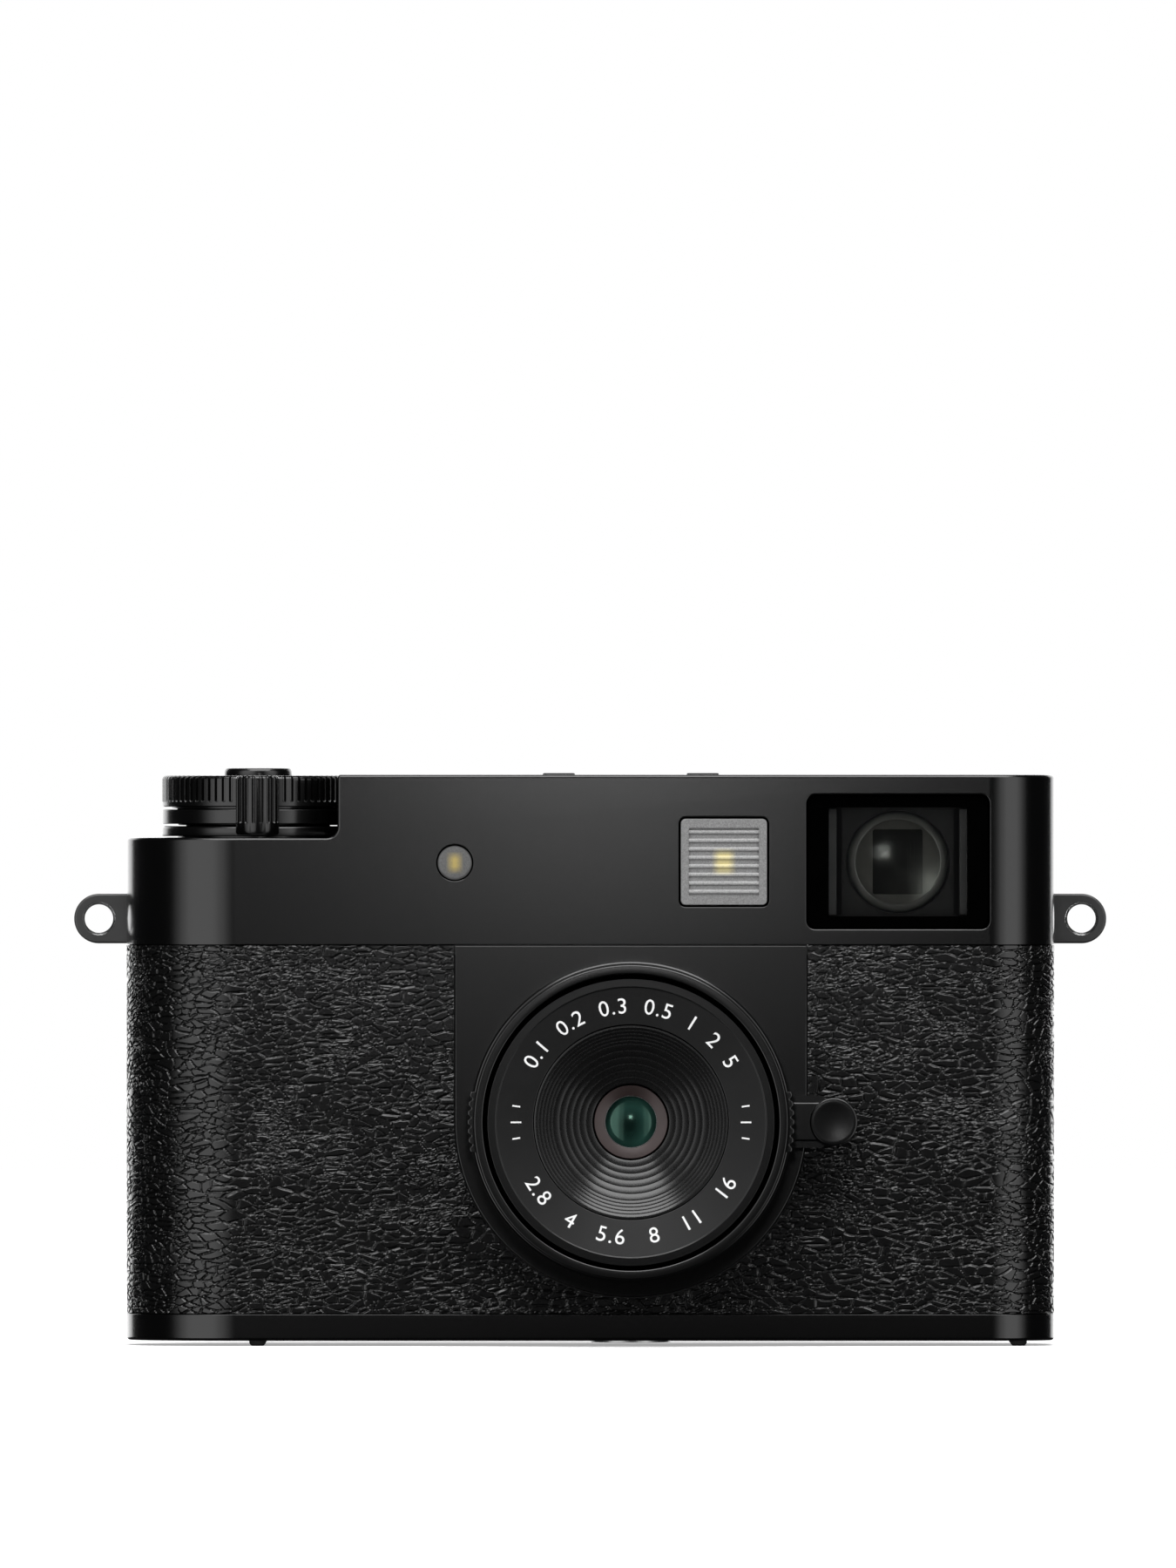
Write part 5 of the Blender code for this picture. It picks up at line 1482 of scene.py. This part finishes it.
def make_switch():
    low, high = SWITCH_Z
    hub, radius = 5.3, STACK_RADIUS
    boss, inner = 8.35 - GAP, STEP_RADIUS
    profile = [
        (hub, high + 0.2), (boss, high + 0.2), (boss, high), (radius - 0.2, high), (radius, high - 0.2)
]
    profile += [(radius, low), (inner, low), (inner, low + 0.3), (hub, low + 0.3)]
    ring = turned(softened(profile, 0.12))
    flutes, samples, grip_radius, reach = 18, 12, 2.48, 12.0
    bottom, top, flute_low = SHOULDER_Z + 0.3, DIAL_Z[1], 59.75
    pitch = 2 * pi / flutes

    def fluted(r, height, angle):
        if r < grip_radius - 0.6:
            return r
        across = abs((angle + pitch / 2) % pitch - pitch / 2) * grip_radius
        below = max(0.0, flute_low - height)
        return r - slot_depth((across**2 + below**2) ** 0.5, 0.23, 0.26, 0.12)

    heights = [
        top - 0.4 - (top - 0.4 - bottom - 0.25) * s for s in (
            0, 0.3, 0.6, 0.74, 0.76, 0.78, 0.8, 0.82, 0.84, 0.9, 1
)
]
    crown = [(grip_radius - 0.4 + 0.4 * sin(t), top - 0.4 + 0.4 * cos(t)) for t in (0, 0.35, 0.7, 1.05, 1.4)]
    grip_profile = [(0, top), (grip_radius - 1.2, top), *crown, *((grip_radius, h) for h in heights)]
    grip_profile += [(grip_radius - 0.2, bottom), (0, bottom)]
    grip = turned(grip_profile, flutes * samples, fluted)
    grip = moved(grip, Matrix.Translation((0, -reach, 0)))
    grip = cut(grip, rod(radius + 0.3, high, top + 5, steps=TURN_STEPS))
    switch = join(ring, grip)
    make_piece(
        "power_switch_ring", [(switch, "metal")], "power_switch", ["power_switch"], DIAL
)


def make_lever():
    low, high = LEVER_Z
    hub, radius, step = 5.3, STACK_RADIUS, 9.12
    boss, inner = STEP_RADIUS - GAP, 8.35
    profile = [(hub, high + 0.25), (boss, high + 0.25), (boss, high), (radius, high), (radius, low)]
    profile += [(step, low), (step, low - 0.15), (inner, low - 0.15), (inner, low + 0.1), (hub, low + 0.1)]
    ring = turned(softened(profile, 0.12))
    tip, reach, root_half, root = 1.5, 13.5, 4.6, 8.0
    turn = Matrix.Rotation(radians(100), 4, "Z")

    def outline(inset):
        angles = [-pi / 2 + pi * i / 16 for i in range(17)]
        ball = [(reach + (tip - inset) * cos(a), (tip - inset) * sin(a)) for a in angles]
        return [*ball, (root, root_half - inset), (root, inset - root_half)]

    arm = moved(prism(outline, low, high, round_low=0.15, round_high=0.15), turn)
    tab_low = SHOULDER_Z + 0.3
    tab = moved(rod(tip, tab_low, high + 1.5, (reach, 0), rim=0.45), turn)
    make_piece(
        "advance_lever_arm", [(join(ring, arm, tab), "metal")], "advance_lever", ["advance_lever"],
        DIAL
)


def make_button():
    low, high = box_mm("shutter_button")
    radius, top, skirt, stem = (high.x - low.x) / 2, high.z, 63.35, 1.5
    threads = [(1.25 - 0.12 * (i % 2), top - 0.35 - 0.14 * i) for i in range(7)]
    profile = [(0, top - 1.5), (1.25, top - 1.5), *reversed(threads), (1.35, top - 0.16)]
    profile += [
        (1.6, top - 0.14),
        *((1.6 + (radius - 2.2) * s, top - 0.14 + 0.12 * s**2) for s in (0.25, 0.5, 0.75, 1))
]
    profile += [(radius - 0.15, top - 0.06), (radius, top - 0.42), (radius, skirt), (3.2, skirt)]
    profile += [(3.2, skirt + 0.75), (stem, skirt + 0.75), (stem, low.z), (0, low.z)]
    button = turned(softened(profile, 0.14, 4), 128)
    make_piece(
        "shutter_button_cap", [(button, "metal")], "shutter_button", ["shutter_button"], DIAL
)


def finish_inner_nodes():
    """The CAD nodes that keep their own shape get a procedural finish."""
    inner = {
        "plastic": ("body_frame", "battery_box", "focus_group", "shutter_unit"),
        "metal": ("lens_barrel", "dial_post"),
        "dark_metal": ("shutter_blade_a", "shutter_blade_b"),
        "steel": ("door_pin", "usb_socket", "button_spring"),
        "circuit": ("image_sensor", "main_board", "flash_board"),
        "battery_case": ("battery",),
        "coated": ("rear_lens",),
    }
    for finish, names in inner.items():
        for name in names:
            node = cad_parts[name]
            node.data.materials.clear()
            node.data.materials.append(FINISHES[finish])


make_leather()
make_lens_panel()
make_lugs()
make_shoe()
make_feet_and_screws()
make_tripod_socket()
make_battery_door()
make_port_door()
make_finder()
make_eyepiece()
make_lights()
make_rear_panel()
make_rear_buttons()
make_bezel()
make_name_ring()
make_baffle()
make_front_optics()
make_focus_ring()
make_aperture_ring()
make_dial()
make_switch()
make_lever()
make_button()
finish_inner_nodes()


# ---- Floor, light and camera ----


def add_softbox(name, place, target, size, power, colour=(1, 1, 1)):
    lamp = bpy.data.lights.new(name, "AREA")
    lamp.shape = "RECTANGLE"
    lamp.size, lamp.size_y = size
    lamp.energy = power
    lamp.color = colour
    obj = bpy.data.objects.new(name, lamp)
    obj.location = place
    obj.rotation_euler = (Vector(target) - Vector(place)).to_track_quat("-Z", "Y").to_euler()
    obj.visible_camera = False
    bpy.context.scene.collection.objects.link(obj)
    return obj


def add_floor():
    mesh = bpy.data.meshes.new("floor")
    bm = bmesh.new()
    bmesh.ops.create_grid(bm, x_segments=1, y_segments=1, size=2.5)
    bm.to_mesh(mesh)
    bm.free()
    finish = Finish("floor", 0.9)
    tone = finish.noise(0.02, 2.0)
    finish.colour(finish.blend(tone, grey(0.86), grey(0.88)))
    finish.shader.inputs["Emission Color"].default_value = (1, 1, 1, 1)
    away = finish.add("ShaderNodeVectorMath", {"operation": "LENGTH"})
    finish.feed(away.inputs[0], finish.place)
    glow = finish.ranged(away.outputs["Value"], (60, 400), (0.35, 1.1))
    finish.feed(finish.shader.inputs["Emission Strength"], glow)
    mesh.materials.append(finish.material)
    floor = bpy.data.objects.new("floor", mesh)
    bpy.context.scene.collection.objects.link(floor)
    floor.visible_glossy = False
    floor.visible_diffuse = False


def add_world():
    """White for the camera, and a dim studio for everything that the object mirrors."""
    world = bpy.data.worlds.new("studio")
    world.use_nodes = True
    bpy.context.scene.world = world
    nodes, links = world.node_tree.nodes, world.node_tree.links
    dim = nodes["Background"]
    dim.inputs["Color"].default_value = (0.93, 0.95, 1.0, 1)
    dim.inputs["Strength"].default_value = 0.03
    white = nodes.new("ShaderNodeBackground")
    white.inputs["Color"].default_value = (1, 1, 1, 1)
    white.inputs["Strength"].default_value = 1.0
    path = nodes.new("ShaderNodeLightPath")
    mix = nodes.new("ShaderNodeMixShader")
    links.new(path.outputs["Is Camera Ray"], mix.inputs[0])
    links.new(dim.outputs[0], mix.inputs[1])
    links.new(white.outputs[0], mix.inputs[2])
    links.new(mix.outputs[0], nodes["World Output"].inputs["Surface"])


def add_camera():
    """Level, straight in front and far away, as a long lens sees it."""
    distance, view_height, sensor = 5.5, 0.1785, 36.0
    data = bpy.data.cameras.new("camera")
    data.sensor_width = sensor
    data.lens = sensor * distance / view_height
    data.clip_end = 40.0
    camera = bpy.data.objects.new("camera", data)
    camera.location = (-0.00025, FRONT_Y * MM - distance, 0.064)
    camera.rotation_euler = (radians(90), 0, 0)
    bpy.context.scene.collection.objects.link(camera)
    bpy.context.scene.camera = camera


add_floor()
add_world()
SOFTBOX_REACH, SOFTBOX_HEIGHT, SOFTBOX_Z = 0.42, 0.6, 0.07
for side, near, azimuths in (
    ("left", -0.044, ((-68, -4, 0.5), (-61, -10, 0.75), (-53, -19, 0.65))),
    ("right", 0.048, ((12, 67, 0.5), (18, 60, 0.75), (27, 53, 0.65))),
):
    for number, (start, end, brightness) in enumerate(azimuths):
        middle, reach = radians((start + end) / 2), SOFTBOX_REACH - 0.01 * number
        place = (near + reach * sin(middle), -reach * cos(middle), SOFTBOX_Z)
        width = 2 * reach * tan(radians((end - start) / 2))
        power = pi * width * SOFTBOX_HEIGHT * brightness
        add_softbox(f"softbox_{side}_{number}", place, (near, 0, 0.05), (width, SOFTBOX_HEIGHT), power)
add_softbox("softbox_top", (0.03, -0.34, 0.76), (0, 0, 0.03), (0.9, 0.75), 12.5)
add_softbox("softbox_rear", (0, 0.62, 0.13), (0, 0.02, 0.03), (1.1, 0.42), 3.2)
add_softbox("front_fill", (0.001, -0.50, 0.080), (0.001, 0, 0.080), (0.03, 0.03), 0.034)
add_camera()
bpy.context.scene.view_settings.view_transform = "Standard"
